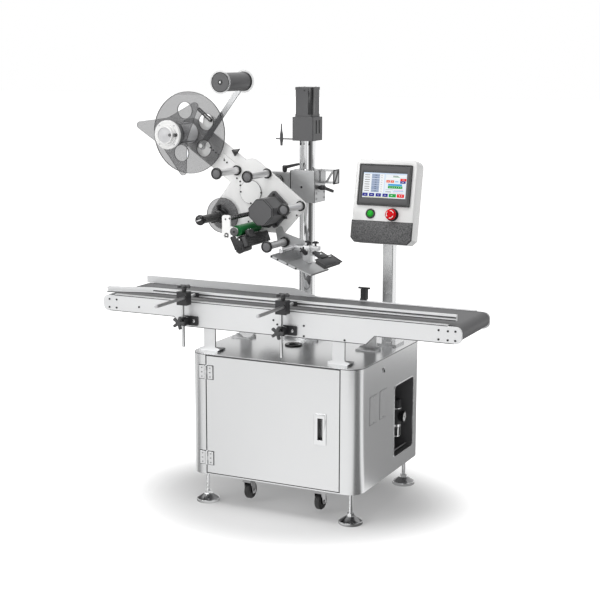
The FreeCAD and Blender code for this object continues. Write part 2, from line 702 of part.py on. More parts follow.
def make_regulator():
    near = cab_y[0] + WINDOW_NEAR
    y = (near - RECESS_WALL, near + WINDOW_WIDTH + RECESS_WALL)
    z = (WINDOW_LOW_Z - RECESS_WALL, WINDOW_LOW_Z + WINDOW_HEIGHT + RECESS_WALL)
    side_x = cab_x[1] - SHEET
    back_x = side_x - RECESS_DEPTH
    tray = prism(rounded_rect(y, z, WINDOW_R + RECESS_WALL), "yz", back_x, side_x)
    hollow = rounded_rect((y[0] + RECESS_WALL, y[1] - RECESS_WALL), (z[0] + RECESS_WALL, z[1] - RECESS_WALL), WINDOW_R)
    keep("regulator_recess", tray.cut(prism(hollow, "yz", back_x + RECESS_WALL, side_x + SMALL)))
    ry = near + REG_BACK
    rx = cab_x[1] - REG_IN
    half = REG_BODY_H / 2
    wall = back_x + RECESS_WALL
    pieces = [
        rod("z", rx, ry, REG_BODY_R, REG_MID_Z - half, REG_MID_Z + half),
        turned([(0, REG_MID_Z + half), (REG_BODY_R - 4, REG_MID_Z + half), (REG_BODY_R - 4, REG_MID_Z + half + 8),
                (REG_BODY_R - 1, REG_MID_Z + half + 8), (REG_BODY_R - 3, REG_MID_Z + half + 34),
                (0, REG_MID_Z + half + 36)], "z", rx, ry),
        turned([(0, REG_MID_Z - half), (BOWL_R + 3, REG_MID_Z - half), (BOWL_R + 3, REG_MID_Z - half - 8),
                (BOWL_R, REG_MID_Z - half - 8), (BOWL_R - 3, REG_MID_Z - half - BOWL_H + 8),
                (6, REG_MID_Z - half - BOWL_H), (0, REG_MID_Z - half - BOWL_H)], "z", rx, ry),
        solid_box((wall, rx), (ry - 14, ry + 14), (REG_MID_Z - 12, REG_MID_Z + 12)),
        rod("x", ry, REG_MID_Z, 7.0, rx, rx + REG_BODY_R + 4),
        turned([(0, rx + REG_BODY_R + 2), (GAUGE_R, rx + REG_BODY_R + 2), (GAUGE_R, rx + REG_BODY_R + GAUGE_T),
                (GAUGE_R - 2, rx + REG_BODY_R + GAUGE_T), (GAUGE_R - 2, rx + REG_BODY_R + GAUGE_T - 2),
                (0, rx + REG_BODY_R + GAUGE_T - 2)], "x", ry, REG_MID_Z),
        rod("y", rx, REG_MID_Z, 9.0, ry - REG_BODY_R - 14, ry + REG_BODY_R + 14),
    ]
    keep("air_regulator", joined(pieces))


def make_electrics():
    back_y = cab_y[1] - SHEET
    face_y = back_y - TRAY_STANDOFF
    x0 = cab_mid_x - TRAY_WIDTH / 2 - 40
    tray_x = (x0, x0 + TRAY_WIDTH)
    tray_z = (TRAY_LOW_Z, TRAY_LOW_Z + TRAY_HEIGHT)
    pieces = [solid_box(tray_x, (face_y - TRAY_T, face_y), tray_z)]
    for x in (tray_x[0] + 20, tray_x[1] - 20):
        for z in (tray_z[0] + 20, tray_z[1] - 20):
            pieces.append(rod("y", x, z, 6.0, face_y - 0.5, back_y))
    rail_face = face_y - TRAY_T - RAIL_DEPTH
    for up, high, sizes in RAIL_ROWS:
        rail_z = tray_z[0] + up
        pieces.append(solid_box((tray_x[0] + 20, tray_x[1] - 20), (rail_face, face_y - TRAY_T + 0.5),
                                (rail_z - RAIL_HEIGHT / 2, rail_z + RAIL_HEIGHT / 2)))
        x = tray_x[0] + 30
        for i, wide in enumerate(sizes):
            deep = 50 + 12 * (i % 3)
            pieces.append(prism(rounded_rect((x, x + wide), (rail_z - high / 2, rail_z + high / 2), 1.5), "xz",
                                rail_face - deep, rail_face + 0.5))
            x += wide + 4
    # Slotted wiring duct above, between and below the rows
    for up in DUCT_ROWS:
        z = tray_z[0] + up
        pieces.append(solid_box((tray_x[0] + 10, tray_x[1] - 10), (face_y - TRAY_T - DUCT_D, face_y - TRAY_T + 0.5),
                                (z, z + DUCT_H)))
    keep("electrics_plate", joined(pieces))


def make_feet():
    names = {0: ("foot_front_left", "foot_rear_left"), 1: ("foot_front_right", "foot_rear_right")}
    for i, x in enumerate((cab_x[0] + FOOT_INSET, cab_x[1] - FOOT_INSET)):
        for j, y in enumerate((cab_y[0] + FOOT_INSET, cab_y[1] - FOOT_INSET)):
            pad = turned([(0, 0), (FOOT_PAD_R, 0), (FOOT_PAD_R, FOOT_PAD_EDGE), (FOOT_NECK_R + 6, FOOT_PAD_H - 6),
                          (FOOT_NECK_R, FOOT_PAD_H), (0, FOOT_PAD_H)], "z", x, y)
            stud = rod("z", x, y, FOOT_STUD_R, FOOT_PAD_H - 2, CAB_BOTTOM + FOOT_STUD_UP)
            hexagon = [polar(x, y, FOOT_NUT_ACROSS / sqrt(3), 60 * k) + (0,) for k in range(6)]
            low_nut = prism(hexagon, "xy", FOOT_PAD_H, FOOT_PAD_H + FOOT_NUT_H)
            keep(names[i][j], joined([pad, stud, low_nut]))


# Casters: the front pair swivels, the rear pair is fixed
def caster_fork(x, y, top, wheel_z, trail, way):
    """Fork under a caster plate: two cheeks joined by a crown, with the axle between them."""
    gap = CASTER_WHEEL_W / 2 + 2.0
    crown_low = wheel_z + CASTER_WHEEL_R + 4
    crown_y = (y - CASTER_CROWN_HALF, y + CASTER_CROWN_HALF)
    pieces = [solid_box((x - gap - CASTER_CHEEK_T, x + gap + CASTER_CHEEK_T), crown_y, (crown_low, top))]
    axle_y = y + way * trail
    for side in (-1, 1):
        inner = x + side * gap
        outer = inner + side * CASTER_CHEEK_T
        corners = [(crown_y[0], top, 0), (crown_y[1], top, 0), (axle_y + 11, wheel_z - 11, 6),
                   (axle_y - 11, wheel_z - 11, 6)]
        pieces.append(prism(corners, "yz", *sorted((inner, outer))))
    pieces.append(rod("x", axle_y, wheel_z, CASTER_AXLE_R, x - gap - CASTER_CHEEK_T - 3, x + gap + CASTER_CHEEK_T + 3))
    return joined(pieces)


def make_casters():
    wheel_z = CASTER_LIFT + CASTER_WHEEL_R
    plate_low = CAB_BOTTOM - CASTER_PLATE_T
    race_low = plate_low - CASTER_RACE_H
    mounts = []
    half = CASTER_PLATE / 2
    for i, x in enumerate((cab_mid_x - CASTER_PITCH_X / 2, cab_mid_x + CASTER_PITCH_X / 2)):
        side = ("left", "right")[i]
        for j, y in enumerate((cab_y[0] + CASTER_INSET_Y, cab_y[1] - CASTER_INSET_Y)):
            plate = prism(rounded_rect((x - half, x + half), (y - half, y + half), 5.0), "xy", plate_low, CAB_BOTTOM)
            way = (1, -1)[j]
            if j == 0:
                king = rod("z", x, y, CASTER_RACE_R - 8, race_low - 4, plate_low + 0.5)
                mounts.append(joined([plate, king]))
                fork = caster_fork(x, y, race_low + CASTER_RACE_H - RUN_GAP, wheel_z, CASTER_TRAIL, way)
                race = rod("z", x, y, CASTER_RACE_R, race_low, plate_low - RUN_GAP)
                hole = rod("z", x, y, CASTER_RACE_R - 8 + SHAFT_GAP, race_low - 4 - RUN_GAP, plate_low + SMALL)
                pedal = prism([(y + 10, wheel_z + 42, 2), (y + 52, wheel_z + 26, 2), (y + 52, wheel_z + 20, 2),
                               (y + 10, wheel_z + 36, 2)], "yz", x - 9, x + 9)
                lug = solid_box((x - 9, x + 9), (y + 8, y + 18), (wheel_z + 36, wheel_z + 44))
                keep("caster_fork_" + side, joined([fork, race, pedal, lug]).cut(hole).removeSplitter())
            else:
                mounts.append(joined([plate, caster_fork(x, y, plate_low + 0.5, wheel_z, CASTER_TRAIL, way)]))
            row = ("front", "rear")[j]
            axle_y = y + way * CASTER_TRAIL
            half_w = CASTER_WHEEL_W / 2
            tyre = [(CASTER_AXLE_R + SHAFT_GAP, x - half_w - 1), (12, x - half_w - 1), (12, x - half_w + 3),
                    (20, x - half_w + 3), (22, x - half_w), (CASTER_WHEEL_R - 3, x - half_w),
                    (CASTER_WHEEL_R, x - half_w + 4), (CASTER_WHEEL_R, x + half_w - 4), (CASTER_WHEEL_R - 3, x + half_w),
                    (22, x + half_w), (20, x + half_w - 3), (12, x + half_w - 3), (12, x + half_w + 1),
                    (CASTER_AXLE_R + SHAFT_GAP, x + half_w + 1)]
            keep("caster_wheel_%s_%s" % (row, side), turned(tyre, "x", axle_y, wheel_z))
    keep("caster_mounts", Part.makeCompound(mounts))


# Conveyor
def make_conveyor():
    end = CONV_HALF_LENGTH
    step = SIDE_END_Z - SIDE_BELLY_Z
    profile = [(-end, SIDE_END_Z, SIDE_END_R), (BELLY_LEFT_X - step, SIDE_END_Z, 6), (BELLY_LEFT_X, SIDE_BELLY_Z, 6),
               (BELLY_RIGHT_X - step / 2, SIDE_BELLY_Z, 6), (BELLY_RIGHT_X + step / 2, SIDE_END_Z, 6),
               (end, SIDE_END_Z, SIDE_END_R), (end, SIDE_TOP_Z, SIDE_END_R), (-end, SIDE_TOP_Z, SIDE_END_R)]
    pieces = []
    tools = []
    shaft_hole = ROLLER_SHAFT_R + SHAFT_GAP
    for y0 in (conv_y[0], inner_y[1]):
        pieces.append(prism(profile, "xz", y0, y0 + SIDE_T))
        for x in (-roller_x, roller_x):
            tools.append(rod("y", x, roller_z, shaft_hole, y0 + 2 if y0 < inner_y[0] - 1 else y0 - SMALL,
                             y0 + SIDE_T + SMALL if y0 < inner_y[0] - 1 else y0 + SIDE_T - 2))
    drive_z = roller_z - belt_in_r + RUN_GAP + DRIVE_R
    motor_z = MOTOR_LOW_Z + MOTOR_WIDTH / 2
    motor_shaft_z = motor_z + MOTOR_SHAFT_UP
    tools.append(rod("y", DRIVE_X, drive_z, shaft_hole, conv_y[0] + 2, inner_y[0] + SMALL))
    tools.append(rod("y", DRIVE_X, drive_z, shaft_hole, inner_y[1] - SMALL, conv_y[1] + SMALL))
    tools.append(rod("y", DRIVE_X, motor_shaft_z, shaft_hole, inner_y[1] - SMALL, conv_y[1] + SMALL))
    for x in TIE_X:
        pieces.append(rod("y", x, roller_z - 4, TIE_R, inner_y[0] - 0.5, inner_y[1] + 0.5))
    # Legs: a plate behind each side plate, on a wide foot
    for x in (-LEG_X, LEG_X):
        half = LEG_WIDTH / 2
        wide = LEG_FOOT_WIDTH / 2
        for y0, way in ((inner_y[0], 1), (inner_y[1], -1)):
            leg_y = sorted((y0, y0 + way * LEG_T))
            shape = [(x - wide, cab_top, 2), (x + wide, cab_top, 2), (x + wide, cab_top + 10, 3), (x + half, cab_top + 14, 3),
                     (x + half, SIDE_BELLY_Z + LEG_LAP - 14, 0), (x - half, SIDE_BELLY_Z + LEG_LAP - 14, 0),
                     (x - half, cab_top + 14, 3), (x - wide, cab_top + 10, 3)]
            pieces.append(prism(shape, "xz", *leg_y))
            foot_y = sorted((y0, y0 + way * LEG_FOOT_DEPTH))
            pieces.append(solid_box((x - wide + 2, x + wide - 2), foot_y, (cab_top, cab_top + LEG_T)))
    frame = cut(joined(pieces), tools).removeSplitter()

    bed_x = roller_x - belt_out_r - BED_END_GAP
    bed_top = belt_top - BELT_T
    bed_y = (inner_y[0] - 0.5, inner_y[1] + 0.5)
    bed = solid_box((-bed_x, bed_x), bed_y, (bed_top - BED_T, bed_top))
    for y0, way in ((inner_y[0], 1), (inner_y[1], -1)):
        lip_y = sorted((y0, y0 + way * (BELT_SIDE_GAP - 1.5)))
        bed = bed.fuse(solid_box((-bed_x, bed_x), lip_y, (bed_top - BED_FLANGE, bed_top)))
    frame = frame.fuse(bed)
    keep("conveyor_frame", frame.removeSplitter())

    def race_track(r):
        return [(-roller_x - r, roller_z - r, r - 0.001), (roller_x + r, roller_z - r, r - 0.001),
                (roller_x + r, roller_z + r, r - 0.001), (-roller_x - r, roller_z + r, r - 0.001)]

    loop = prism(race_track(belt_out_r), "xz", *belt_y)
    loop = loop.cut(prism(race_track(belt_in_r), "xz", belt_y[0] - SMALL, belt_y[1] + SMALL))
    keep("conveyor_belt", loop)

    for name, x in (("tail_roller", -roller_x), ("drive_roller", roller_x)):
        drum = [(0, conv_y[0] + 2 + RUN_GAP), (ROLLER_SHAFT_R, conv_y[0] + 2 + RUN_GAP), (ROLLER_SHAFT_R, inner_y[0] + 1),
                (ROLLER_R, inner_y[0] + 1), (ROLLER_R, inner_y[1] - 1), (ROLLER_SHAFT_R, inner_y[1] - 1),
                (ROLLER_SHAFT_R, conv_y[1] - 2 - RUN_GAP), (0, conv_y[1] - 2 - RUN_GAP)]
        keep(name, turned(drum, "y", x, roller_z))
    # Drive drum pressed on the inside of the return run, its pulley outside the far plate
    pulley_y = (conv_y[1] + 6, conv_y[1] + 6 + TIMING_BELT_W + 2)
    drum = [(0, conv_y[0] + 2 + RUN_GAP), (ROLLER_SHAFT_R, conv_y[0] + 2 + RUN_GAP), (ROLLER_SHAFT_R, inner_y[0] + 3),
            (DRIVE_R - RUN_GAP, inner_y[0] + 3), (DRIVE_R - RUN_GAP, inner_y[1] - 3), (ROLLER_SHAFT_R, inner_y[1] - 3),
            (ROLLER_SHAFT_R, pulley_y[0]), (PULLEY_R, pulley_y[0]), (PULLEY_R, pulley_y[1]), (0, pulley_y[1])]
    keep("drive_drum", turned(drum, "y", DRIVE_X, drive_z))

    half = MOTOR_WIDTH / 2
    gear_y = (inner_y[1] - GEARHEAD_LENGTH, inner_y[1])
    motor_y = (gear_y[0] - MOTOR_LENGTH, gear_y[0])
    body = prism(rounded_rect((DRIVE_X - half, DRIVE_X + half), (MOTOR_LOW_Z, MOTOR_LOW_Z + MOTOR_WIDTH), 5.0), "xz",
                 *gear_y)
    barrel = rod("y", DRIVE_X, motor_z, half - 3, motor_y[0], motor_y[1] + 0.5)
    cap = rod("y", DRIVE_X, motor_z, half, motor_y[0] - MOTOR_CAP_L, motor_y[0] + 10)
    shaft = rod("y", DRIVE_X, motor_shaft_z, ROLLER_SHAFT_R, inner_y[1] - 1, pulley_y[0] + 1)
    pulley = rod("y", DRIVE_X, motor_shaft_z, PULLEY_R, *pulley_y)
    keep("belt_gearmotor", joined([body, barrel, cap, shaft, pulley]))
    # Closed case with the toothed belt round both pulleys
    room = PULLEY_R + DRIVE_CASE_ROOM
    case_z = (motor_shaft_z - room, drive_z + room)
    case_x = (DRIVE_X - room, DRIVE_X + room)
    case = prism(rounded_rect(case_x, case_z, 14.0), "xz", conv_y[1], conv_y[1] + DRIVE_CASE_T)
    w = DRIVE_CASE_WALL
    hollow = prism(rounded_rect((case_x[0] + w, case_x[1] - w), (case_z[0] + w, case_z[1] - w), 14.0 - w), "xz",
                   conv_y[1] - SMALL, conv_y[1] + DRIVE_CASE_T - w)
    band_y = (pulley_y[0] + 1, pulley_y[0] + 1 + TIMING_BELT_W)
    inner_r = PULLEY_R + RUN_GAP
    low, high = motor_shaft_z, drive_z

    def loop_shape(r):
        return rounded_rect((DRIVE_X - r, DRIVE_X + r), (low - r, high + r), r - 0.001)

    band = prism(loop_shape(inner_r + TIMING_BELT_T), "xz", *band_y)
    band = band.cut(prism(loop_shape(inner_r), "xz", band_y[0] - SMALL, band_y[1] + SMALL))
    keep("drive_case", Part.makeCompound([case.cut(hollow), band]))


# Guides
def make_guides():
    near = FRONT_Y + RAIL_NEAR
    high = (RAIL_LOW_Z, RAIL_LOW_Z + RAIL_H)
    path = [(RAIL_LEFT_X, near - RAIL_FLARE, 0), (RAIL_BEND_X, near, 60), (RAIL_RIGHT_X, near, 0),
            (RAIL_RIGHT_X, near + RAIL_T, 0), (RAIL_BEND_X, near + RAIL_T, 60), (RAIL_LEFT_X, near - RAIL_FLARE + RAIL_T, 0)]
    rail = prism(path, "xy", *high)
    mid = sum(high) / 2
    groove = [(u, v - RAIL_T + RAIL_SLOT_DEPTH, r) for u, v, r in path]
    rail = rail.cut(prism(groove, "xy", mid - RAIL_SLOT / 2, mid + RAIL_SLOT / 2))
    pieces = [rail]
    rod_z = RAIL_LOW_Z + ROD_UP
    for x in POST_XS:
        pieces.append(rod("y", x + ROD_OFFSET_X, rod_z, ROD_R, FRONT_Y + ROD_NEAR, near + RAIL_SLOT_DEPTH + 0.5))
    keep("guide_rail", joined(pieces))

    posts = []
    brackets = []
    block_top = rod_z + CROSS_BLOCK_UP
    block_z = (block_top - CROSS_BLOCK_H, block_top)
    post_y = FRONT_Y + POST_NEAR
    for side, x in zip(("left", "right"), POST_XS):
        block_x = (x - CROSS_BLOCK_W / 2 + CROSS_BLOCK_SHIFT, x + CROSS_BLOCK_W / 2 + CROSS_BLOCK_SHIFT)
        block = solid_box(block_x, (post_y - CROSS_BLOCK_D / 2, post_y + CROSS_BLOCK_D / 2), block_z)
        block = block.makeChamfer(2.0, block.Edges)
        hole = rod("y", x + ROD_OFFSET_X, rod_z, ROD_R + SHAFT_GAP, post_y - CROSS_BLOCK_D, post_y + CROSS_BLOCK_D)
        post = rod("z", x, post_y, POST_R, POST_LOW_Z, block_z[1] - 12)
        screw_hole = rod("z", x + POST_KNOB_SHIFT, post_y, KNOB_STEM_R + SHAFT_GAP, block_z[1] - 6, block_z[1] + SMALL)
        posts.append(joined([block, post]).cut(hole).cut(screw_hole))
        keep("post_knob_" + side, star_knob("z", x + POST_KNOB_SHIFT, post_y, block_z[1] - 5.5, 1,
                                            stem_h=KNOB_STEM_H + 5.5))
        arm_x = (x - CLAMP_W / 2, x + CLAMP_W / 2)
        arm_z = (CLAMP_Z - CLAMP_H / 2, CLAMP_Z + CLAMP_H / 2)
        arm = solid_box(arm_x, (post_y - CLAMP_FRONT, conv_y[0] - CLAMP_BASE_T + 0.5), arm_z)
        base = prism(rounded_rect((x - CLAMP_W / 2 - 2, x + CLAMP_BASE_W - CLAMP_W / 2), (arm_z[0] - 4, arm_z[1] + 4), 4.0),
                     "xz", conv_y[0] - CLAMP_BASE_T, conv_y[0])
        bore = rod("z", x, post_y, POST_R + SHAFT_GAP, arm_z[0] - SMALL, arm_z[1] + SMALL)
        stem = rod("y", x, CLAMP_Z, KNOB_STEM_R + SHAFT_GAP, post_y - CLAMP_FRONT - SMALL, post_y - POST_R - 1.2)
        brackets.append(joined([arm, base]).cut(bore).cut(stem))
        knob_seat = post_y - POST_R - 1.5
        keep("bracket_knob_" + side, star_knob("y", x, CLAMP_Z, knob_seat, -1, lobes=4,
                                               stem_h=KNOB_STEM_H + CLAMP_FRONT - POST_R - 1.5))
    keep("guide_posts", Part.makeCompound(posts))
    keep("guide_brackets", Part.makeCompound(brackets))

    # Far guide: an upright strip with its flange on the far side plate
    gy = inner_y[1] - REAR_GUIDE_BACK
    low = SIDE_TOP_Z + REAR_GUIDE_UP
    top = low + REAR_GUIDE_H
    strip = prism([(REAR_GUIDE_LEFT_X, low, 0), (REAR_GUIDE_TIP_X, low, 0), (REAR_GUIDE_TAPER_X, top, 40),
                   (REAR_GUIDE_LEFT_X, top, 3)], "xz", gy, gy + REAR_GUIDE_T)
    pieces = [strip]
    for x in REAR_CLIP_XS:
        clip_x = (x - REAR_CLIP_HALF, x + REAR_CLIP_HALF)
        pieces.append(solid_box(clip_x, (gy, conv_y[1]), (low, low + REAR_GUIDE_T)))
        pieces.append(solid_box(clip_x, (inner_y[1] + 1, conv_y[1]), (SIDE_TOP_Z, low + 0.5)))
    keep("rear_guide_plate", joined(pieces))

    sy = conv_y[1]
    foot = solid_box((SENSOR_X - 12, SENSOR_X + 12), (sy, sy + 4), (SIDE_TOP_Z - 34, SIDE_TOP_Z + 6))
    arm = solid_box((SENSOR_X - 12, SENSOR_X + 12), (sy - 2, sy + 4), (SIDE_TOP_Z + 2, SIDE_TOP_Z + 10))
    body = solid_box((SENSOR_X - SENSOR_W / 2, SENSOR_X + SENSOR_W / 2), (sy - 2, sy - 2 + SENSOR_D),
                     (SIDE_TOP_Z + 4, SIDE_TOP_Z + SENSOR_H))
    bar = rod("x", sy + 8, SIDE_TOP_Z + SENSOR_H + 3, 3.5, SENSOR_X - SENSOR_BAR / 2, SENSOR_X + SENSOR_BAR / 2)
    stem = rod("z", SENSOR_X, sy + 8, 5.0, SIDE_TOP_Z + SENSOR_H - 1, SIDE_TOP_Z + SENSOR_H + 4)
    keep("product_sensor", joined([foot, arm, body, bar, stem]))


# Operator panel
def lean(shape):
    """Place a piece drawn upright, with its front at y = 0, onto the leaning panel."""
    shape = shape.copy()
    shape.rotate(V(0, 0, 0), V(1, 0, 0), -PANEL_LEAN)
    shape.translate(V(PANEL_X, FRONT_Y + PANEL_NEAR, PANEL_Z))
    return shape


def make_panel():
    u = (HOUSING_LEFT, HOUSING_RIGHT)
    housing = prism([(u[0], HOUSING_JOIN, 0), (u[1], HOUSING_JOIN, 0), (u[1], HOUSING_TOP, HOUSING_R),
                     (u[0], HOUSING_TOP, HOUSING_R)], "xz", 0, HOUSING_DEPTH)
    holes = [
        rod("y", GREEN_U, BUTTON_V, GREEN_R - 2 + RUN_GAP, -COLLAR_T - SMALL, BUTTON_STEM + BUTTON_TRAVEL + 1),
        rod("y", RED_U, BUTTON_V, RED_STEM_R + RUN_GAP, -COLLAR_T - SMALL, BUTTON_STEM + BUTTON_TRAVEL + 1),
    ]
    collars = [rod("y", GREEN_U, BUTTON_V, COLLAR_R, -COLLAR_T, 0.5), rod("y", RED_U, BUTTON_V, RED_COLLAR_R, -COLLAR_T, 0.5)]
    housing = cut(joined([housing] + collars), holes)
    housing = housing.cut(rod("y", GREEN_U, BUTTON_V, GREEN_R + RUN_GAP, -COLLAR_T - SMALL, BUTTON_TRAVEL + 2))
    chin = prism([(u[0] + CHIN_CHAMFER, HOUSING_LOW, 5), (u[1] - CHIN_CHAMFER, HOUSING_LOW, 5),
                  (u[1], HOUSING_LOW + CHIN_CHAMFER, 5), (u[1], HOUSING_JOIN, 0), (u[0], HOUSING_JOIN, 0),
                  (u[0], HOUSING_LOW + CHIN_CHAMFER, 5)], "xz", -CHIN_PROUD, HOUSING_DEPTH)
    keep("panel_housing", lean(joined([housing, chin])))
    bezel = prism(rounded_rect((0, BEZEL_W), (0, BEZEL_H), 5.0), "xz", -BEZEL_T, 0)
    glass = rounded_rect((SCREEN_LEFT, SCREEN_LEFT + SCREEN_W), (SCREEN_LOW, SCREEN_LOW + SCREEN_H), 1.0)
    bezel = bezel.cut(prism(glass, "xz", -BEZEL_T - SMALL, -BEZEL_T + SCREEN_RECESS))
    keep("touch_screen", lean(bezel))
    green = joined([rod("y", GREEN_U, BUTTON_V, GREEN_R, -GREEN_PROUD, 1.0),
                    rod("y", GREEN_U, BUTTON_V, GREEN_R - 2, -GREEN_PROUD + 1, BUTTON_STEM)])
    keep("start_button", lean(green))
    top = -COLLAR_T - RED_STANDOFF
    red = turned([(0, top - RED_CAP_H), (RED_R - 5, top - RED_CAP_H), (RED_R, top - RED_CAP_H + 5), (RED_R, top - 3),
                  (RED_R - 3, top), (RED_STEM_R, top), (RED_STEM_R, BUTTON_STEM), (0, BUTTON_STEM)], "y", RED_U, BUTTON_V)
    keep("emergency_stop", lean(red))
    half = PANEL_POST_W / 2
    y0 = FRONT_Y + PANEL_POST_NEAR
    mid_y = y0 + half
    post = prism(rounded_rect((PANEL_POST_X - half, PANEL_POST_X + half), (y0, y0 + PANEL_POST_W), 4.0), "xy",
                 cab_top, PANEL_Z)
    # The panel's closed underside sits on the post's slanted top
    shadow = prism([(-400, HOUSING_LOW, 0), (600, HOUSING_LOW, 0), (600, 400, 0), (-400, 400, 0)], "xz", -300, 300)
    post = post.cut(lean(shadow))
    wide = PANEL_POST_FLANGE / 2
    flange = prism(rounded_rect((PANEL_POST_X - wide, PANEL_POST_X + wide), (mid_y - wide, mid_y + wide), 6.0), "xy",
                   cab_top, cab_top + PANEL_POST_FLANGE_T)
    keep("panel_post", joined([post, flange]))


# Lift
def make_lift():
    screw_x = COLUMN_X + SCREW_DX
    screw_y = column_y + SCREW_DY
    base_mid = COLUMN_X - COLUMN_BASE_SHIFT
    base_x = (base_mid - COLUMN_BASE_W / 2, base_mid + COLUMN_BASE_W / 2)
    base_y = (column_y - COLUMN_BASE_D / 2, column_y + COLUMN_BASE_D / 2)
    base_top = cab_top + COLUMN_BASE_T
    base = prism(rounded_rect(base_x, base_y, 8.0), "xy", cab_top, base_top)
    neck_r = COLUMN_R + NECK_WALL
    neck = turned([(0, base_top - 1), (neck_r, base_top - 1), (neck_r, base_top + 4), (neck_r - 3, base_top + NECK_H),
                   (0, base_top + NECK_H)], "z", COLUMN_X, column_y)
    column = rod("z", COLUMN_X, column_y, COLUMN_R, base_top, COLUMN_TOP_Z)
    socket = rod("z", screw_x, screw_y, SCREW_R + SHAFT_GAP, base_top - SCREW_END - RUN_GAP, base_top + NECK_H + 6)
    keep("main_column", joined([base, neck, column]).cut(socket))

    gx = COLUMN_X + GEARBOX_DX
    half = GEARBOX_W / 2
    box_z = (COLUMN_TOP_Z, COLUMN_TOP_Z + GEARBOX_H)
    gearbox = prism(rounded_rect((gx - half, gx + half), (column_y - half, column_y + half), 4.0), "xy", *box_z)
    tools = [rod("z", screw_x, screw_y, SCREW_R + SHAFT_GAP, box_z[0] - SMALL, box_z[0] + SCREW_END + RUN_GAP)]
    for dy in VENT_OFFSETS:
        vent_y = (column_y + dy - VENT_W / 2, column_y + dy + VENT_W / 2)
        tools.append(solid_box((gx + half - VENT_DEPTH, gx + half + SMALL), vent_y,
                               (box_z[0] + VENT_LOW, box_z[1] - VENT_TOP_INSET)))
    small = LIFT_MOTOR_W / 2
    n = LIFT_MOTOR_NOTCH
    cross = [(gx - small, column_y - small + n, 0), (gx - small + n, column_y - small + n, 0),
             (gx - small + n, column_y - small, 0), (gx + small - n, column_y - small, 0),
             (gx + small - n, column_y - small + n, 0), (gx + small, column_y - small + n, 0),
             (gx + small, column_y + small - n, 0), (gx + small - n, column_y + small - n, 0),
             (gx + small - n, column_y + small, 0), (gx - small + n, column_y + small, 0),
             (gx - small + n, column_y + small - n, 0), (gx - small, column_y + small - n, 0)]
    motor_z = (box_z[1] - 0.5, box_z[1] + LIFT_MOTOR_H)
    motor = prism(cross, "xy", *motor_z)
    for z in (box_z[1] - 0.5, motor_z[1] - LIFT_MOTOR_END_T):
        end_plate = rounded_rect((gx - small, gx + small), (column_y - small, column_y + small), 6.0)
        motor = motor.fuse(prism(end_plate, "xy", z, z + LIFT_MOTOR_END_T))
    probe_y = FRONT_Y + PROBE_BACK
    probe = [
        rod("x", probe_y, PROBE_ROD_Z, PROBE_ROD_R, PROBE_X - PROBE_ROD_PAST, gx - half + 1),
        turned([(0, PROBE_LOW_Z), (PROBE_R - 2, PROBE_LOW_Z), (PROBE_R - 1, PROBE_LOW_Z + 14), (PROBE_R, PROBE_LOW_Z + 16),
                (PROBE_R, PROBE_ROD_Z + 16), (PROBE_R - 3, PROBE_ROD_Z + 30), (PROBE_R - 4, PROBE_HIGH_Z),
                (0, PROBE_HIGH_Z)], "z", PROBE_X, probe_y),
    ]
    keep("lift_drive", cut(joined([gearbox, motor] + probe), tools).removeSplitter())

    screw = turned([(0, base_top - SCREW_END), (SCREW_R, base_top - SCREW_END), (SCREW_R, COLUMN_TOP_Z + SCREW_END),
                    (0, COLUMN_TOP_Z + SCREW_END)], "z", screw_x, screw_y)
    keep("lift_screw", screw)

    bx = (COLUMN_X - BLOCK_W / 2, COLUMN_X + BLOCK_W / 2)
    by = (block_front, block_front + BLOCK_D)
    bz = (BLOCK_LOW_Z, BLOCK_LOW_Z + BLOCK_H)
    block = prism(rounded_rect(bx, by, 3.0), "xy", *bz)
    # Arm to the split clamp that grips the tilt bar
    arm_y = (arm_front, arm_front + ARM_D)
    clamp_r = TILT_BAR_R + CLAMP_WALL
    arm = prism([(bx[0] + 1, TILT_Z - clamp_r + 4, 0), (bx[0] + 1, ARM_HIGH_Z, 0), (ARM_SHOULDER_X, ARM_HIGH_Z, 4),
                 (TILT_X - clamp_r, TILT_Z + 20, 10), (TILT_X - clamp_r, TILT_Z - clamp_r, 18)], "xz", *arm_y)
    boss = rod("y", ARM_BOSS_X, ARM_BOSS_Z, ARM_BOSS_R, arm_y[0] - ARM_BOSS_PROUD, arm_y[0] + 1)
    bore = rod("y", TILT_X, TILT_Z, TILT_BAR_R + SHAFT_GAP, arm_y[0] - 20, arm_y[1] + SMALL)
    slit = solid_box((TILT_X - CLAMP_SLIT / 2, TILT_X + CLAMP_SLIT / 2), (arm_y[0] - SMALL, arm_y[1] + SMALL),
                     (TILT_Z - clamp_r - 4, TILT_Z))
    lever_y = arm_y[0] + LEVER_IN
    lever_hole = rod("z", LEVER_X, lever_y, LEVER_STUD_R + SHAFT_GAP, ARM_HIGH_Z - LEVER_STUD_IN - 2,
                     ARM_HIGH_Z + SMALL)
    column_hole = rod("z", COLUMN_X, column_y, COLUMN_R + SHAFT_GAP, bz[0] - SMALL, bz[1] + SMALL)
    screw_hole = rod("z", screw_x, screw_y, SCREW_R + SHAFT_GAP, bz[0] - SMALL, bz[1] + SMALL)
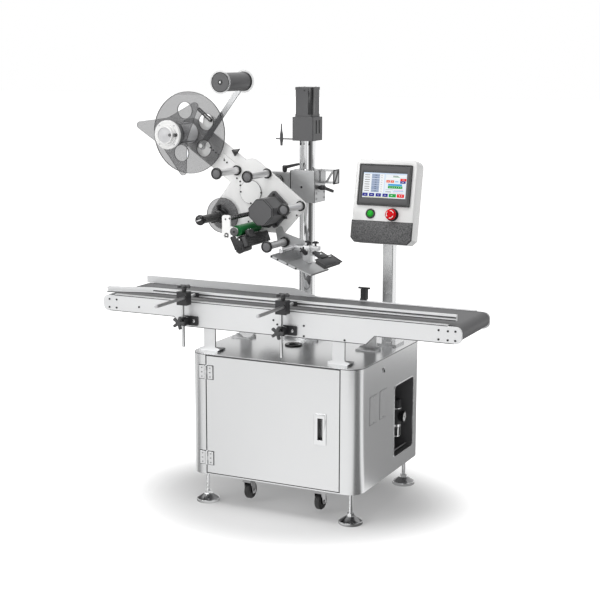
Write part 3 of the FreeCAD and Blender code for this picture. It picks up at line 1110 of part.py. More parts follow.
    # Channel bracket on the block's right side
    sx = (bx[1] - 0.5, bx[1] + SIDE_BRACKET_W)
    sy = (by[1] - SIDE_BRACKET_D - 6, by[1] - 6)
    sz = (bz[1] - SIDE_BRACKET_H, bz[1])
    t = SIDE_BRACKET_T
    bracket = solid_box(sx, sy, sz).cut(solid_box((sx[0] + 4, sx[1] - t), (sy[0] - SMALL, sy[1] + SMALL),
                                                   (sz[0] + t, sz[1] - t)))
    brace = prism([(sx[0] + 14, sz[0] + 1, 0), (sx[0] + 22, sz[0] + 1, 0), (sx[1] - 6, sz[1] - 1, 0),
                   (sx[1] - 14, sz[1] - 1, 0)], "xz", sy[0] + 14, sy[0] + 20)
    lever_bore = rod("x", by[0] + BLOCK_LEVER_IN, bz[0] + BLOCK_LEVER_UP, LEVER_STUD_R + SHAFT_GAP,
                     bx[1] - LEVER_STUD_IN - 2, bx[1] + SMALL)
    whole = joined([block, arm, boss, bracket, brace])
    keep("lift_block", cut(whole, [bore, slit, lever_hole, column_hole, screw_hole, lever_bore]).removeSplitter())
    keep("tilt_lever", clamp_lever("z", LEVER_X, lever_y, ARM_HIGH_Z, TILT_LEVER_TURN))
    keep("block_lever", clamp_lever("x", by[0] + BLOCK_LEVER_IN, bz[0] + BLOCK_LEVER_UP, bx[1], BLOCK_LEVER_TURN))


def clamp_lever(axis, a, b, face, turn):
    """An indexing lever: stud into the piece, a hub on its face, and a slim rising arm."""
    hub = [(0, -LEVER_STUD_IN), (LEVER_STUD_R, -LEVER_STUD_IN), (LEVER_STUD_R, RUN_GAP + 2), (LEVER_HUB_R - 2, RUN_GAP + 2),
           (LEVER_HUB_R, 8), (LEVER_HUB_R, LEVER_HUB_H - 4), (LEVER_HUB_R - 3, LEVER_HUB_H), (0, LEVER_HUB_H)]
    body = turned(hub, "z", 0, 0)
    arm = prism([(0, LEVER_HUB_H - 14, 0), (LEVER_LENGTH, LEVER_HUB_H + 2, 3), (LEVER_LENGTH, LEVER_HUB_H + 11, 4),
                 (0, LEVER_HUB_H - 1, 0)], "xz", -4.5, 4.5)
    lever = joined([body, arm])
    if axis == "z":
        lever.rotate(V(0, 0, 0), V(0, 0, 1), turn)
        lever.translate(V(a, b, face))
    else:
        lever.rotate(V(0, 0, 0), V(0, 1, 0), 90)
        lever.rotate(V(0, 0, 0), V(1, 0, 0), 90 + turn)
        lever.translate(V(face, a, b))
    return lever


# Label head
def arm_line():
    """Unit direction of the reel arm, from the reel's axis towards the first guide roller."""
    dx = GUIDE_ROLLERS[0][0] - UNWIND_X
    dz = GUIDE_ROLLERS[0][1] - UNWIND_Z
    length = hypot(dx, dz)
    return dx / length, dz / length, length


def link_plate(y):
    """Plate in front of the feed rollers: it hangs on the tie rod, carries the driven roller and ends in a ring."""
    return [
        prism([(LINK_ROD_X - 14, LINK_RING_Z + 6, 6), (LINK_ROD_X + 18, LINK_RING_Z + 6, 6),
               (LINK_ROD_X + 18, LINK_ROD_Z + 14, 8), (LINK_ROD_X - 14, LINK_ROD_Z + 14, 8)], "xz", *y),
        prism([(LINK_ROD_X + 10, FEED_Z - 12, 0), (FEED_X + 12, FEED_Z - 12, 10), (FEED_X + 12, FEED_Z + 12, 10),
               (LINK_ROD_X + 10, FEED_Z + 20, 0)], "xz", *y),
        rod("y", LINK_RING_X, LINK_RING_Z, 10.0, *y),
    ]


def make_head_plate():
    main = prism([PLATE_LEFT, PLATE_LOW_RIGHT, PLATE_RIGHT, PLATE_TOP], "xz", *plate_y)
    ux, uz, length = arm_line()
    nx, nz = -uz, ux
    half = ARM_PLATE_HALF

    def along(t, s):
        return UNWIND_X + ux * t + nx * s, UNWIND_Z + uz * t + nz * s

    # Back strip of the reel arm, full width, with the face strip on its lower side
    end = length + ARM_PAST_ROLLER
    strip_v = FACE_STRIP_W - half
    back = prism([along(-half, -half) + (half - 1,), along(end, -half) + (8,), along(length + 4, half) + (4,),
                  along(-half, half) + (half - 1,)], "xz", plate_y[0] + 4, plate_y[1])
    face = prism([along(FACE_STRIP_FROM, -half) + (0,), along(end, -half) + (8,), along(end, strip_v) + (8,),
                  along(FACE_STRIP_FROM, strip_v) + (0,)], "xz", *plate_y)
    pieces = [main, back, face]
    # Pins for the guide rollers, dancer arm and pressure side
    for x, z, front in GUIDE_ROLLERS[:3]:
        pieces.append(rod("y", x, z, ROLLER_PIN_R, FRONT_Y + front + CAP_L, plate_y[0] + 5))
    pieces.append(rod("y", DANCER_PIVOT_X, DANCER_PIVOT_Z, DANCER_PIN_R, plate_y[0] - DANCER_PIN_L, plate_y[0] + 5))
    # Barrel beside the arm on a slotted lug
    lug = prism([along(LUG_SPAN[0], half - 12) + (0,), along(LUG_SPAN[1], half - 12) + (0,), (BARREL_X + 18, BARREL_Z + 4, 6),
                 (BARREL_X - 18, BARREL_Z + 30, 6)], "xz", plate_y[0] + 5, plate_y[0] + 9)
    barrel = rod("y", BARREL_X, BARREL_Z, BARREL_R, plate_y[0] + 3, plate_y[0] + 3 + BARREL_LENGTH)
    pieces += [lug, barrel]
    # Tilt bar behind, with its cover disc in front
    pieces.append(rod("y", TILT_X, TILT_Z, TILT_BAR_R, plate_y[1] - 1, arm_front + ARM_D))
    pieces.append(rod("y", TILT_X, TILT_Z, TILT_COVER_R, plate_y[0] - TILT_COVER_T, plate_y[0] + 1))
    link_y = (FRONT_Y + LINK_FRONT, FRONT_Y + LINK_FRONT + LINK_T)
    pieces.append(rod("y", LINK_ROD_X, LINK_ROD_Z, LINK_ROD_R, link_y[1] - 1, plate_y[0] + 1))
    pieces += link_plate(link_y)
    tools = [rod("y", LINK_RING_X, LINK_RING_Z, 5.0, link_y[0] - SMALL, link_y[1] + SMALL),
             rod("y", FEED_X, FEED_Z, FEED_PIN_R + SHAFT_GAP, link_y[0] - SMALL, link_y[1] + SMALL),
             rod("y", UNWIND_X, UNWIND_Z, REEL_SHAFT_R + SHAFT_GAP, plate_y[0] - 20, plate_y[1] + SMALL),
             rod("y", REWIND_X, REWIND_Z, REEL_SHAFT_R + SHAFT_GAP, plate_y[0] - SMALL, plate_y[1] + SMALL),
             rod("y", FEED_X, FEED_Z, FEED_PIN_R + SHAFT_GAP, plate_y[0] - SMALL, plate_y[1] + SMALL)]
    # Row of adjusting holes in the reel arm
    for t in ARM_HOLES:
        hx, hz = along(t, strip_v - ARM_HOLE_IN)
        tools.append(rod("y", hx, hz, ARM_HOLE_R, plate_y[0] - SMALL, plate_y[1] + SMALL))
    keep("head_plate", cut(joined(pieces), tools).removeSplitter())


def make_rollers():
    for i, (x, z, front) in enumerate(GUIDE_ROLLERS):
        y0 = FRONT_Y + front
        y1 = plate_y[0] - RUN_GAP if i < 3 else plate_y[0] - GUSSET_T - RUN_GAP
        bore = ROLLER_PIN_R + SHAFT_GAP
        body = turned([(0, y0 + 1), (CAP_R - 4, y0), (CAP_R, y0 + 2), (CAP_R, y0 + CAP_L), (TUBE_R, y0 + CAP_L),
                       (TUBE_R, y1 - COLLAR_L - 4), (COLLAR_BACK_R - 4, y1 - COLLAR_L), (COLLAR_BACK_R, y1 - COLLAR_L),
                       (COLLAR_BACK_R, y1), (bore, y1), (bore, y0 + CAP_L - RUN_GAP), (0, y0 + CAP_L - RUN_GAP)], "y", x, z)
        keep("guide_roller_%d" % (i + 1), body)


def make_unwind():
    disc_y = (plate_y[0] - DISC_STANDOFF - DISC_T, plate_y[0] - DISC_STANDOFF)
    disc = rod("y", UNWIND_X, UNWIND_Z, DISC_R, *disc_y)
    tools = [rod("y", UNWIND_X, UNWIND_Z, HUB_R, disc_y[0] - SMALL, disc_y[1] + SMALL)]
    for i in range(DISC_HOLES):
        hx, hz = polar(UNWIND_X, UNWIND_Z, DISC_HOLE_PITCH_R, DISC_HOLE_FIRST + i * 360.0 / DISC_HOLES)
        tools.append(rod("y", hx, hz, DISC_HOLE_R, disc_y[0] - SMALL, disc_y[1] + SMALL))
    keep("unwind_disc", cut(disc, tools))
    front = disc_y[0] - MANDREL_LENGTH
    back = plate_y[1] + 18
    fy = (front + FLANGE_BACK, front + FLANGE_BACK + FLANGE_T)
    sleeve_back = fy[1] + SLEEVE_BEHIND
    neck = MANDREL_R - GROOVE_DEEP
    core = turned([(0, front), (MANDREL_R, front), (MANDREL_R, sleeve_back), (neck, sleeve_back), (neck, sleeve_back + GROOVE_W),
                   (MANDREL_R, sleeve_back + GROOVE_W), (MANDREL_R, disc_y[0]), (HUB_R, disc_y[0]), (HUB_R, plate_y[0] - RUN_GAP),
                   (REEL_SHAFT_R, plate_y[0] - RUN_GAP), (REEL_SHAFT_R, plate_y[1] + RUN_GAP),
                   (HUB_R - 6, plate_y[1] + RUN_GAP), (HUB_R - 6, back), (0, back)], "y", UNWIND_X, UNWIND_Z)
    keep("unwind_core", core)
    # Outer flange: three lobes on a sleeve that slides on the mandrel, closed by the lock ring
    corners = []
    for i in range(3):
        angle = FLANGE_FIRST + 120 * i
        corners.append(polar(UNWIND_X, UNWIND_Z, FLANGE_TIP_R + FLANGE_ROUND * 0.6, angle) + (FLANGE_ROUND,))
        corners.append(polar(UNWIND_X, UNWIND_Z, FLANGE_WAIST_R, angle + 60) + (60.0,))
    lobes = prism(corners, "xz", *fy)
    sleeve = rod("y", UNWIND_X, UNWIND_Z, SLEEVE_R, front - 2, sleeve_back)
    lock_y = (front - 2 - LOCK_T, front - 2)
    hub_front = lock_y[0] - LOCK_HUB_T
    lock = turned([(0, hub_front), (LOCK_HUB_R - 3, hub_front), (LOCK_HUB_R, hub_front + 3), (LOCK_HUB_R, lock_y[0]),
                   (LOCK_R - 2, lock_y[0]), (LOCK_R, lock_y[0] + 2), (LOCK_R, lock_y[1]),
                   (0, lock_y[1])], "y", UNWIND_X, UNWIND_Z)
    bore = rod("y", UNWIND_X, UNWIND_Z, MANDREL_R + SHAFT_GAP, front - RUN_GAP, fy[1] + 20)
    keep("outer_flange", joined([lobes, sleeve, lock]).cut(bore).removeSplitter())


def make_dancer():
    dx = DANCER_ROLLER_X - DANCER_PIVOT_X
    dz = DANCER_ROLLER_Z - DANCER_PIVOT_Z
    length = hypot(dx, dz)
    ux, uz = dx / length, dz / length
    nx, nz = -uz, ux
    half = DANCER_ARM_W / 2
    arm_y = (plate_y[0] - RUN_GAP - DANCER_ARM_T, plate_y[0] - RUN_GAP)
    corners = []
    for t, s in ((-half - 5, -half), (length + half, -half), (length + half, half), (-half - 5, half)):
        corners.append((DANCER_PIVOT_X + ux * t + nx * s, DANCER_PIVOT_Z + uz * t + nz * s, half - 0.5))
    arm = prism(corners, "xz", *arm_y)
    boss = rod("y", DANCER_PIVOT_X, DANCER_PIVOT_Z, 15.0, arm_y[0] - 4, arm_y[1])
    bore = rod("y", DANCER_PIVOT_X, DANCER_PIVOT_Z, DANCER_PIN_R + SHAFT_GAP, arm_y[0] - 20, arm_y[1] + SMALL)
    pin_front = FRONT_Y + DANCER_FRONT + 10
    pin = rod("y", DANCER_ROLLER_X, DANCER_ROLLER_Z, ROLLER_PIN_R, pin_front, arm_y[1])
    keep("dancer_arm", joined([arm, boss, pin]).cut(bore))
    y0 = FRONT_Y + DANCER_FRONT
    y1 = arm_y[0] - RUN_GAP
    t = DANCER_FLANGE_T
    roller = turned([(0, y0), (DANCER_FLANGE_R, y0), (DANCER_FLANGE_R, y0 + t), (DANCER_ROLLER_R, y0 + t),
                     (DANCER_ROLLER_R, y1 - t), (DANCER_FLANGE_R, y1 - t), (DANCER_FLANGE_R, y1),
                     (ROLLER_PIN_R + SHAFT_GAP, y1), (ROLLER_PIN_R + SHAFT_GAP, pin_front - RUN_GAP),
                     (0, pin_front - RUN_GAP)], "y", DANCER_ROLLER_X, DANCER_ROLLER_Z)
    keep("dancer_roller", roller)


def make_feed():
    y0 = FRONT_Y + FEED_MOTOR_FRONT
    half = FEED_MOTOR_W / 2
    c = FEED_MOTOR_CHAMFER
    octagon = [(-half, -half + c), (-half + c, -half), (half - c, -half), (half, -half + c),
               (half, half - c), (half - c, half), (-half + c, half), (-half, half - c)]
    turn = radians(FEED_MOTOR_TURN)

    def place(points, r=0):
        return [(FEED_MOTOR_X + u * cos(turn) - v * sin(turn), FEED_MOTOR_Z + u * sin(turn) + v * cos(turn), r)
                for u, v in points]

    body = prism(place(octagon, 2), "xz", y0, plate_y[0] - FEED_FLANGE_T + 0.5)
    f = FEED_FLANGE_W / 2
    flange = prism(place([(-f, -f), (f, -f), (f, f), (-f, f)], 10), "xz", plate_y[0] - FEED_FLANGE_T, plate_y[0])
    keep("feed_motor", joined([body, flange]))

    # Driven roller with its covering, and the pulley behind the plate
    face_y = (FRONT_Y + CHEEK_FRONT + FEED_FACE_GAP, plate_y[0] - FEED_FACE_GAP)
    pulley_y = (plate_y[1] + 2, plate_y[1] + 2 + FEED_PULLEY_W)
    link_y = FRONT_Y + LINK_FRONT
    feed = turned([(0, link_y + RUN_GAP), (FEED_PIN_R, link_y + RUN_GAP), (FEED_PIN_R, face_y[0]), (FEED_R, face_y[0]),
                   (FEED_R, face_y[1]), (FEED_PIN_R, face_y[1]), (FEED_PIN_R, pulley_y[0]), (FEED_PULLEY_R, pulley_y[0]),
                   (FEED_PULLEY_R, pulley_y[1]), (0, pulley_y[1])], "y", FEED_X, FEED_Z)
    keep("feed_roller", feed)

    reach = FEED_R + PRESS_R + RUN_GAP
    px, pz = polar(FEED_X, FEED_Z, reach, PRESS_ANGLE)
    cheek_y = (FRONT_Y + CHEEK_FRONT, FRONT_Y + CHEEK_FRONT + CHEEK_T)
    back_y = (plate_y[0] - 10, plate_y[0])
    press_y = (cheek_y[1] + RUN_GAP, back_y[0] - RUN_GAP)
    pin_y = (cheek_y[0] + 4, plate_y[0] - 4)
    press = turned([(0, pin_y[0]), (FEED_PIN_R, pin_y[0]), (FEED_PIN_R, press_y[0]), (PRESS_R, press_y[0]),
                    (PRESS_R, press_y[1]), (FEED_PIN_R, press_y[1]), (FEED_PIN_R, pin_y[1]), (0, pin_y[1])], "y", px, pz)
    keep("pressure_roller", press)
    # Cheeks each end of the pressure roller, joined by the cover bar under it, and the link plate in front
    h = CHEEK_HALF
    turn_block = radians(PRESS_ANGLE + 90)

    def block_point(u, v):
        return (px + u * cos(turn_block) - v * sin(turn_block), pz + u * sin(turn_block) + v * cos(turn_block))

    outline_block = [block_point(-h, -h) + (4,), block_point(h + 6, -h) + (4,), block_point(h + 6, h - 12) + (6,),
                     block_point(-h, h - 12) + (6,)]
    front_cheek = prism(outline_block, "xz", *cheek_y)
    back_cheek = prism(outline_block, "xz", *back_y)
    bar_low = [block_point(-h, -h) + (4,), block_point(h + 6, -h) + (4,), block_point(h + 6, -h + 6) + (0,),
               block_point(-h, -h + 6) + (0,)]
    bar = prism(bar_low, "xz", cheek_y[0] + 1, back_y[1] - 1)
    side = [block_point(h, -h) + (0,), block_point(h + 6, -h) + (0,), block_point(h + 6, h - 12) + (0,),
            block_point(h, h - 12) + (0,)]
    wall = prism(side, "xz", cheek_y[0] + 1, back_y[1] - 1)
    bore = rod("y", px, pz, FEED_PIN_R + SHAFT_GAP, cheek_y[0] + 3, plate_y[0] - 3)
    keep("nip_bracket", joined([front_cheek, back_cheek, bar, wall]).cut(bore).removeSplitter())


def make_rewind():
    y0 = FRONT_Y + REWIND_FRONT
    disc_y = (plate_y[0] - 10, plate_y[0] - 7)
    spindle = turned([(0, y0), (REWIND_BULB_R - 8, y0), (REWIND_BULB_R, y0 + 7), (REWIND_BULB_R, y0 + 14),
                      (REWIND_TUBE_R + 1, y0 + 30), (REWIND_TUBE_R, y0 + 34), (REWIND_TUBE_R, disc_y[0] - 26),
                      (REWIND_HUB_R, disc_y[0] - 26), (REWIND_HUB_R, disc_y[0] + 0.5), (REWIND_DISC_R, disc_y[0]),
                      (REWIND_DISC_R, disc_y[1]), (REWIND_HUB_R, disc_y[1]), (REWIND_HUB_R, plate_y[0] - RUN_GAP),
                      (REEL_SHAFT_R, plate_y[0] - RUN_GAP), (REEL_SHAFT_R, plate_y[1] + RUN_GAP),
                      (REWIND_HUB_R, plate_y[1] + RUN_GAP), (REWIND_HUB_R, plate_y[1] + 16), (0, plate_y[1] + 16)],
                     "y", REWIND_X, REWIND_Z)
    fins = []
    for i in range(3):
        angle = 100 + 120 * i
        ax, az = polar(REWIND_X, REWIND_Z, REWIND_HUB_R - 4, angle - 14)
        bx, bz = polar(REWIND_X, REWIND_Z, REWIND_HUB_R - 4, angle + 14)
        cx, cz = polar(REWIND_X, REWIND_Z, REWIND_FIN_R, angle + 5)
        dx, dz = polar(REWIND_X, REWIND_Z, REWIND_FIN_R, angle - 5)
        fins.append(prism([(ax, az, 0), (dx, dz, 2), (cx, cz, 2), (bx, bz, 0)], "xz", disc_y[0] - 12, disc_y[0] + 0.5))
    keep("rewind_spindle", joined([spindle] + fins))


def make_peel():
    slope = atan2(PEEL_RIGHT_Z - PEEL_LEFT_Z, PEEL_RIGHT_X - PEEL_LEFT_X)
    ux, uz = cos(slope), sin(slope)
    nx, nz = -uz, ux
    length = hypot(PEEL_RIGHT_X - PEEL_LEFT_X, PEEL_RIGHT_Z - PEEL_LEFT_Z)

    def on(t, s):
        return PEEL_LEFT_X + ux * t + nx * s, PEEL_LEFT_Z + uz * t + nz * s

    y = (FRONT_Y + PEEL_FRONT, plate_y[0] - GUSSET_T)
    plate = prism([on(0, -PEEL_T) + (0,), on(length, -PEEL_T) + (1.5,), on(length, 0) + (1.5,), on(0, 0) + (0,)], "xz", *y)
    lip = prism([on(0, -PEEL_LIP) + (3,), on(length * LIP_SHARE, -PEEL_LIP) + (3,), on(length * 0.72, -PEEL_T / 2) + (0,),
                 on(0, -PEEL_T / 2) + (0,)], "xz", y[0], y[0] + 4)
    gusset = prism([on(0, -PEEL_T) + (0,), on(GUSSET_REACH, -PEEL_T) + (0,)] + list(GUSSET_POINTS), "xz",
                   plate_y[0] - GUSSET_T, plate_y[0])
    pin = rod("y", GUIDE_ROLLERS[3][0], GUIDE_ROLLERS[3][1], ROLLER_PIN_R, FRONT_Y + GUIDE_ROLLERS[3][2] + CAP_L,
              plate_y[0] - 1)
    keep("peel_plate", joined([plate, lip, gusset, pin]).removeSplitter())

    # Round bar, hold-down blade, adjusters and the wiping brush
    bar = rod("y", PEEL_BAR_X, PEEL_BAR_Z, PEEL_BAR_R, y[0] + 18, plate_y[0] - GUSSET_T)
    by = (FRONT_Y + BRUSH_FRONT, FRONT_Y + BRUSH_BACK)
    b_slope = atan2(BRUSH_RIGHT_Z - BRUSH_LEFT_Z, BRUSH_RIGHT_X - BRUSH_LEFT_X)
    bux, buz = cos(b_slope), sin(b_slope)
    b_len = hypot(BRUSH_RIGHT_X - BRUSH_LEFT_X, BRUSH_RIGHT_Z - BRUSH_LEFT_Z)

    def brush_point(t, s):
        return BRUSH_LEFT_X + bux * t - buz * s, BRUSH_LEFT_Z + buz * t + bux * s

    brush = prism([brush_point(0, 0) + (0,), brush_point(b_len, 0) + (1,), brush_point(b_len, BRUSH_T) + (1,),
                   brush_point(0, BRUSH_T) + (0,)], "xz", *by)
    # Upright post on the peel plate that carries the brush arm and the adjusting screws
    base_x = on(FIT_POST_ON[1], 0)[0]
    post_y = (FRONT_Y + FIT_POST_NEAR, FRONT_Y + FIT_POST_NEAR + FIT_POST_D)
    post_x = (base_x - 14, base_x + 16)
    post = prism([on(FIT_POST_ON[0], 0) + (0,), on(FIT_POST_ON[2], 0) + (0,), (post_x[1], FIT_POST_TOP_Z, 4),
                  (post_x[0], FIT_POST_TOP_Z, 4)], "xz", *post_y)
    arm = prism([(post_x[0], BRUSH_ARM_Z[1], 0), (BRUSH_LEFT_X + 14, BRUSH_ARM_Z[0], 0), brush_point(4, BRUSH_T - 1) + (0,),
                 brush_point(-2, 0) + (0,), (post_x[0], BRUSH_ARM_Z[0], 0)], "xz", post_y[0] + 4, post_y[1] - 4)
    bar_holder = prism([(post_x[0], BAR_HOLDER_Z[0], 0), (post_x[0], BAR_HOLDER_Z[1], 0),
                        (PEEL_BAR_X, PEEL_BAR_Z + PEEL_BAR_R - 2, 0), (PEEL_BAR_X, PEEL_BAR_Z - PEEL_BAR_R + 2, 0)], "xz",
                       post_y[0] + 6, post_y[1] - 6)
    mid_y = sum(post_y) / 2
    screw = rod("z", base_x + 1, mid_y, ADJUSTER_STUD_R - 1, FIT_POST_TOP_Z - 1, FIT_POST_TOP_Z + 16)
    knob = rod("z", base_x + 1, mid_y, ADJUSTER_R, FIT_POST_TOP_Z + 8, FIT_POST_TOP_Z + 20)
    cross_y = FRONT_Y + CROSS_KNOB_NEAR
    cross = rod("y", base_x + 1, CROSS_KNOB_Z, ADJUSTER_STUD_R, cross_y + 10, post_y[0] + 4)
    knob2 = rod("y", base_x + 1, CROSS_KNOB_Z, ADJUSTER_R, cross_y, cross_y + 12)
    rail = solid_box((base_x + 12, base_x + 12 + FIT_RAIL_L), (post_y[0] + 4, post_y[1] - 4), FIT_RAIL_Z)
    keep("peel_fittings", joined([bar, brush, post, arm, bar_holder, screw, knob, cross, knob2, rail]))


for build in (make_cabinet, make_door, make_regulator, make_electrics, make_feet, make_casters, make_conveyor,
              make_guides, make_panel, make_lift, make_head_plate, make_rollers, make_unwind, make_dancer,
              make_feed, make_rewind, make_peel):
    build()

os.makedirs("parts", exist_ok=True)
for name, shape in parts.items():
    shape.exportStep("parts/%s.step" % name)
box = Part.makeCompound(list(parts.values())).BoundBox
print("%d nodes" % len(parts))
print("X %.2f..%.2f  Y %.2f..%.2f  Z %.2f..%.2f" % (box.XMin, box.XMax, box.YMin, box.YMax, box.ZMin, box.ZMax))
for name, shape in parts.items():
    if not shape.isValid() or len(shape.Solids) != 1:
        print(name, "valid", shape.isValid(), "solids", len(shape.Solids))
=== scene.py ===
# %% [markdown]
# Flat surface labelling machine, dressed in Blender.
# The solids come packed from CAD and stay exactly where they are. This lesson gives each one a finish,
# and models what the solids leave plain: screws, caps, lenses, gauge, screen picture, louvres and trims.

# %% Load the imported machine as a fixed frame
import bpy
import json
import math
from math import cos, pi, radians, sin
from mathutils import Matrix, Vector

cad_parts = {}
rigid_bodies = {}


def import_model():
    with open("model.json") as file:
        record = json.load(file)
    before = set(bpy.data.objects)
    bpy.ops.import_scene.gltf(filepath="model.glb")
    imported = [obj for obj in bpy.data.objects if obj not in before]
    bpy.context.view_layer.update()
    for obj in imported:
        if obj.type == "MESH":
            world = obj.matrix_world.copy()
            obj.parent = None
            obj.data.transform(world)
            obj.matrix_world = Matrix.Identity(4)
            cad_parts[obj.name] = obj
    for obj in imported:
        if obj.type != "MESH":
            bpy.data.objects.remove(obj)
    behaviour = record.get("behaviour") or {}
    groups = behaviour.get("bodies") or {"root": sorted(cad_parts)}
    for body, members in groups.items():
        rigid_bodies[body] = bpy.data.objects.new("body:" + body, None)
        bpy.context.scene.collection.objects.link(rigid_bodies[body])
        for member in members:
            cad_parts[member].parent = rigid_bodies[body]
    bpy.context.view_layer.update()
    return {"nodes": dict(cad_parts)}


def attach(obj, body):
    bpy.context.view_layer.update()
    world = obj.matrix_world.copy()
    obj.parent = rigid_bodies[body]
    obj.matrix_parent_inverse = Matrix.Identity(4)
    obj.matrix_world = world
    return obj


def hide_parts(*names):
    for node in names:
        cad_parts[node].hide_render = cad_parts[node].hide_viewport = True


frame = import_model()
nodes = frame["nodes"]

# %% [markdown]
# All sizes below are in millimetres, and depth is counted from the cabinet's front face, as a fitter
# would measure them. One small function turns them into Blender's metres.

# %% Millimetres behind the cabinet front, to metres
FRONT = -197.5               # the cabinet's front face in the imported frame
LEAN = radians(10.8)         # the operator panel leans back on its post
PANEL_CORNER = (155, 425, 1065)   # lower left corner of the display's bezel


def at(x, y, z):
    return Vector((x, y + FRONT, z)) / 1000


print("cabinet front:", tuple(at(0, 0, 0)), "panel corner:", tuple(at(*PANEL_CORNER)))

# %% [markdown]
# Selection comes first in every edit: operators act on all that is selected, so a piece is made the
# only selected object, and its faces or edges are then picked by their place or direction.

# %% Pick a piece, and pick parts of its mesh
def pick_nothing():
    if bpy.context.object and bpy.context.object.mode != "OBJECT":
        bpy.ops.object.mode_set(mode="OBJECT")
    bpy.ops.object.select_all(action="DESELECT")


def pick(*pieces):
    pick_nothing()
    for piece in pieces:
        piece.select_set(True)
    bpy.context.view_layer.objects.active = pieces[0]


def edit(piece, kind, wanted):
    """Edit mode with the vertices, edges or faces selected for which wanted(item, mesh) is true."""
    pick(piece)
    bpy.ops.object.mode_set(mode="EDIT")
    bpy.ops.mesh.select_mode(type=kind)
    bpy.ops.mesh.select_all(action="DESELECT")
    bpy.ops.object.mode_set(mode="OBJECT")
    mesh = piece.data
    items = {"VERT": mesh.vertices, "EDGE": mesh.edges, "FACE": mesh.polygons}[kind]
    for item in items:
        item.select = bool(wanted(item, mesh))
    bpy.ops.object.mode_set(mode="EDIT")


def object_mode():
    bpy.ops.object.mode_set(mode="OBJECT")


print("still selected after loading:", len(bpy.context.selected_objects))

# %% [markdown]
# A finished piece gets its name, its finish and the CAD body it rides on. Its place
# is applied into its mesh, so that patterns in Object coordinates stay put when the body moves.

# %% Finish a piece and let it ride
def soften_rim(piece, width, segments=2, sharp=40):
    """Bevels the edges that turn by more than sharp degrees; width is in mm."""
    pick(piece)
    bevel = piece.modifiers.new("rim", "BEVEL")
    bevel.width = width / 1000
    bevel.segments = segments
    bevel.limit_method = "ANGLE"
    bevel.angle_limit = radians(sharp)
    bpy.ops.object.modifier_apply(modifier=bevel.name)


def done(piece, name, finish, body, smooth=35, soften=0.0):
    pick(piece)
    bpy.ops.object.transform_apply(location=True, rotation=True, scale=True)
    if soften:
        soften_rim(piece, soften)
    bpy.ops.object.shade_smooth_by_angle(angle=radians(smooth))
    piece.name = name
    piece.data.name = name
    piece.data.materials.clear()
    piece.data.materials.append(finish)
    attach(piece, body)
    return piece


told = set(bpy.data.objects.keys())


def tell(step):
    """Prints the pieces made since the last call."""
    new = sorted(set(bpy.data.objects.keys()) - told)
    told.update(new)
    print(step + ":", ", ".join(new))


# %% [markdown]
# Turned pieces such as rollers, caps and knobs start as one vertex, which is drawn along half their
# section by extruding. The same line of vertices is also the start of every flat plate.

# %% Draw a line of vertices
def one_vertex(start):
    pick_nothing()
    bpy.ops.mesh.primitive_plane_add(size=0.001, location=(0, 0, 0))
    bpy.ops.object.mode_set(mode="EDIT")
    bpy.ops.mesh.select_mode(type="VERT")
    bpy.ops.mesh.merge(type="CENTER")
    bpy.ops.transform.translate(value=start)
    return bpy.context.object


def draw(points):
    """Points in metres, joined by edges; the piece is left in edit mode with the last one selected."""
    piece = one_vertex(points[0])
    for here, there in zip(points, points[1:]):
        bpy.ops.mesh.extrude_region_move(TRANSFORM_OT_translate={"value": Vector(there) - Vector(here)})
    return piece


# %% [markdown]
# Spinning the line once round its axis is the lathe of mesh modelling. The first and the last line then
# lie on each other, so doubles are merged before the normals are made to point out.

# %% Spin a line into a turned piece
SAME_PLACE = 2e-6            # metres; vertices closer than this are one
AXES = {"x": Vector((1, 0, 0)), "y": Vector((0, 1, 0)), "z": Vector((0, 0, 1))}


def spun(profile, centre, axis="y", steps=48):
    """profile holds (radius, distance along the axis) in millimetres; centre is a point on the axis."""
    way = AXES[axis]
    out = {"x": AXES["z"], "y": AXES["x"], "z": AXES["x"]}[axis]
    base = Vector(centre) - way * Vector(centre).dot(way)
    points = [base + out * (r / 1000) + way * (h / 1000) for r, h in profile]
    piece = draw(points)
    bpy.ops.mesh.select_all(action="SELECT")
    bpy.ops.mesh.spin(steps=steps, angle=2 * pi, center=base, axis=way)
    bpy.ops.mesh.select_all(action="SELECT")
    bpy.ops.mesh.remove_doubles(threshold=SAME_PLACE)
    bpy.ops.mesh.normals_make_consistent(inside=False)
    object_mode()
    return piece


def turned(profile, x, z, **more):
    """A piece turned about an axis along the machine's depth: (radius, depth behind the front)."""
    return spun([(r, y + FRONT) for r, y in profile], at(x, 0, z), "y", **more)


# %% [markdown]
# Sheet and plate pieces are drawn as an outline, filled and extruded, and a bevel rounds their rims. Cut
# parts look real through that small bevel, because it catches a line of light.

# %% Plates from an outline
def thicken(piece, thick, face, rim):
    """Extrudes the flat piece in edit mode along face's w, turns its faces out and rounds its rim."""
    bpy.ops.mesh.select_all(action="SELECT")
    bpy.ops.mesh.extrude_region_move(TRANSFORM_OT_translate={"value": face(0, 0, thick) - face(0, 0, 0)})
    bpy.ops.mesh.select_all(action="SELECT")
    bpy.ops.mesh.normals_make_consistent(inside=False)
    object_mode()
    if rim:
        soften_rim(piece, rim)
    return piece


def plate(corners, thick, face, rim=0.0):
    """corners (u, v) in mm; face(u, v, w) places them in metres, and w runs through the thickness."""
    piece = draw([face(u, v, 0) for u, v in corners])
    bpy.ops.mesh.select_all(action="SELECT")
    bpy.ops.mesh.edge_face_add()
    return thicken(piece, thick, face, rim)


# %% [markdown]
# An outline is drawn on a face. One function places outlines that stand upright, another those that lie
# on the panel's leaning face, so the same lists of corners work on both.

# %% Faces to draw on, and two outlines
def upright(x0, y0, z0):
    """u runs right, v up and w towards the operator."""
    return lambda u, v, w: at(x0 + u, y0 - w, z0 + v)


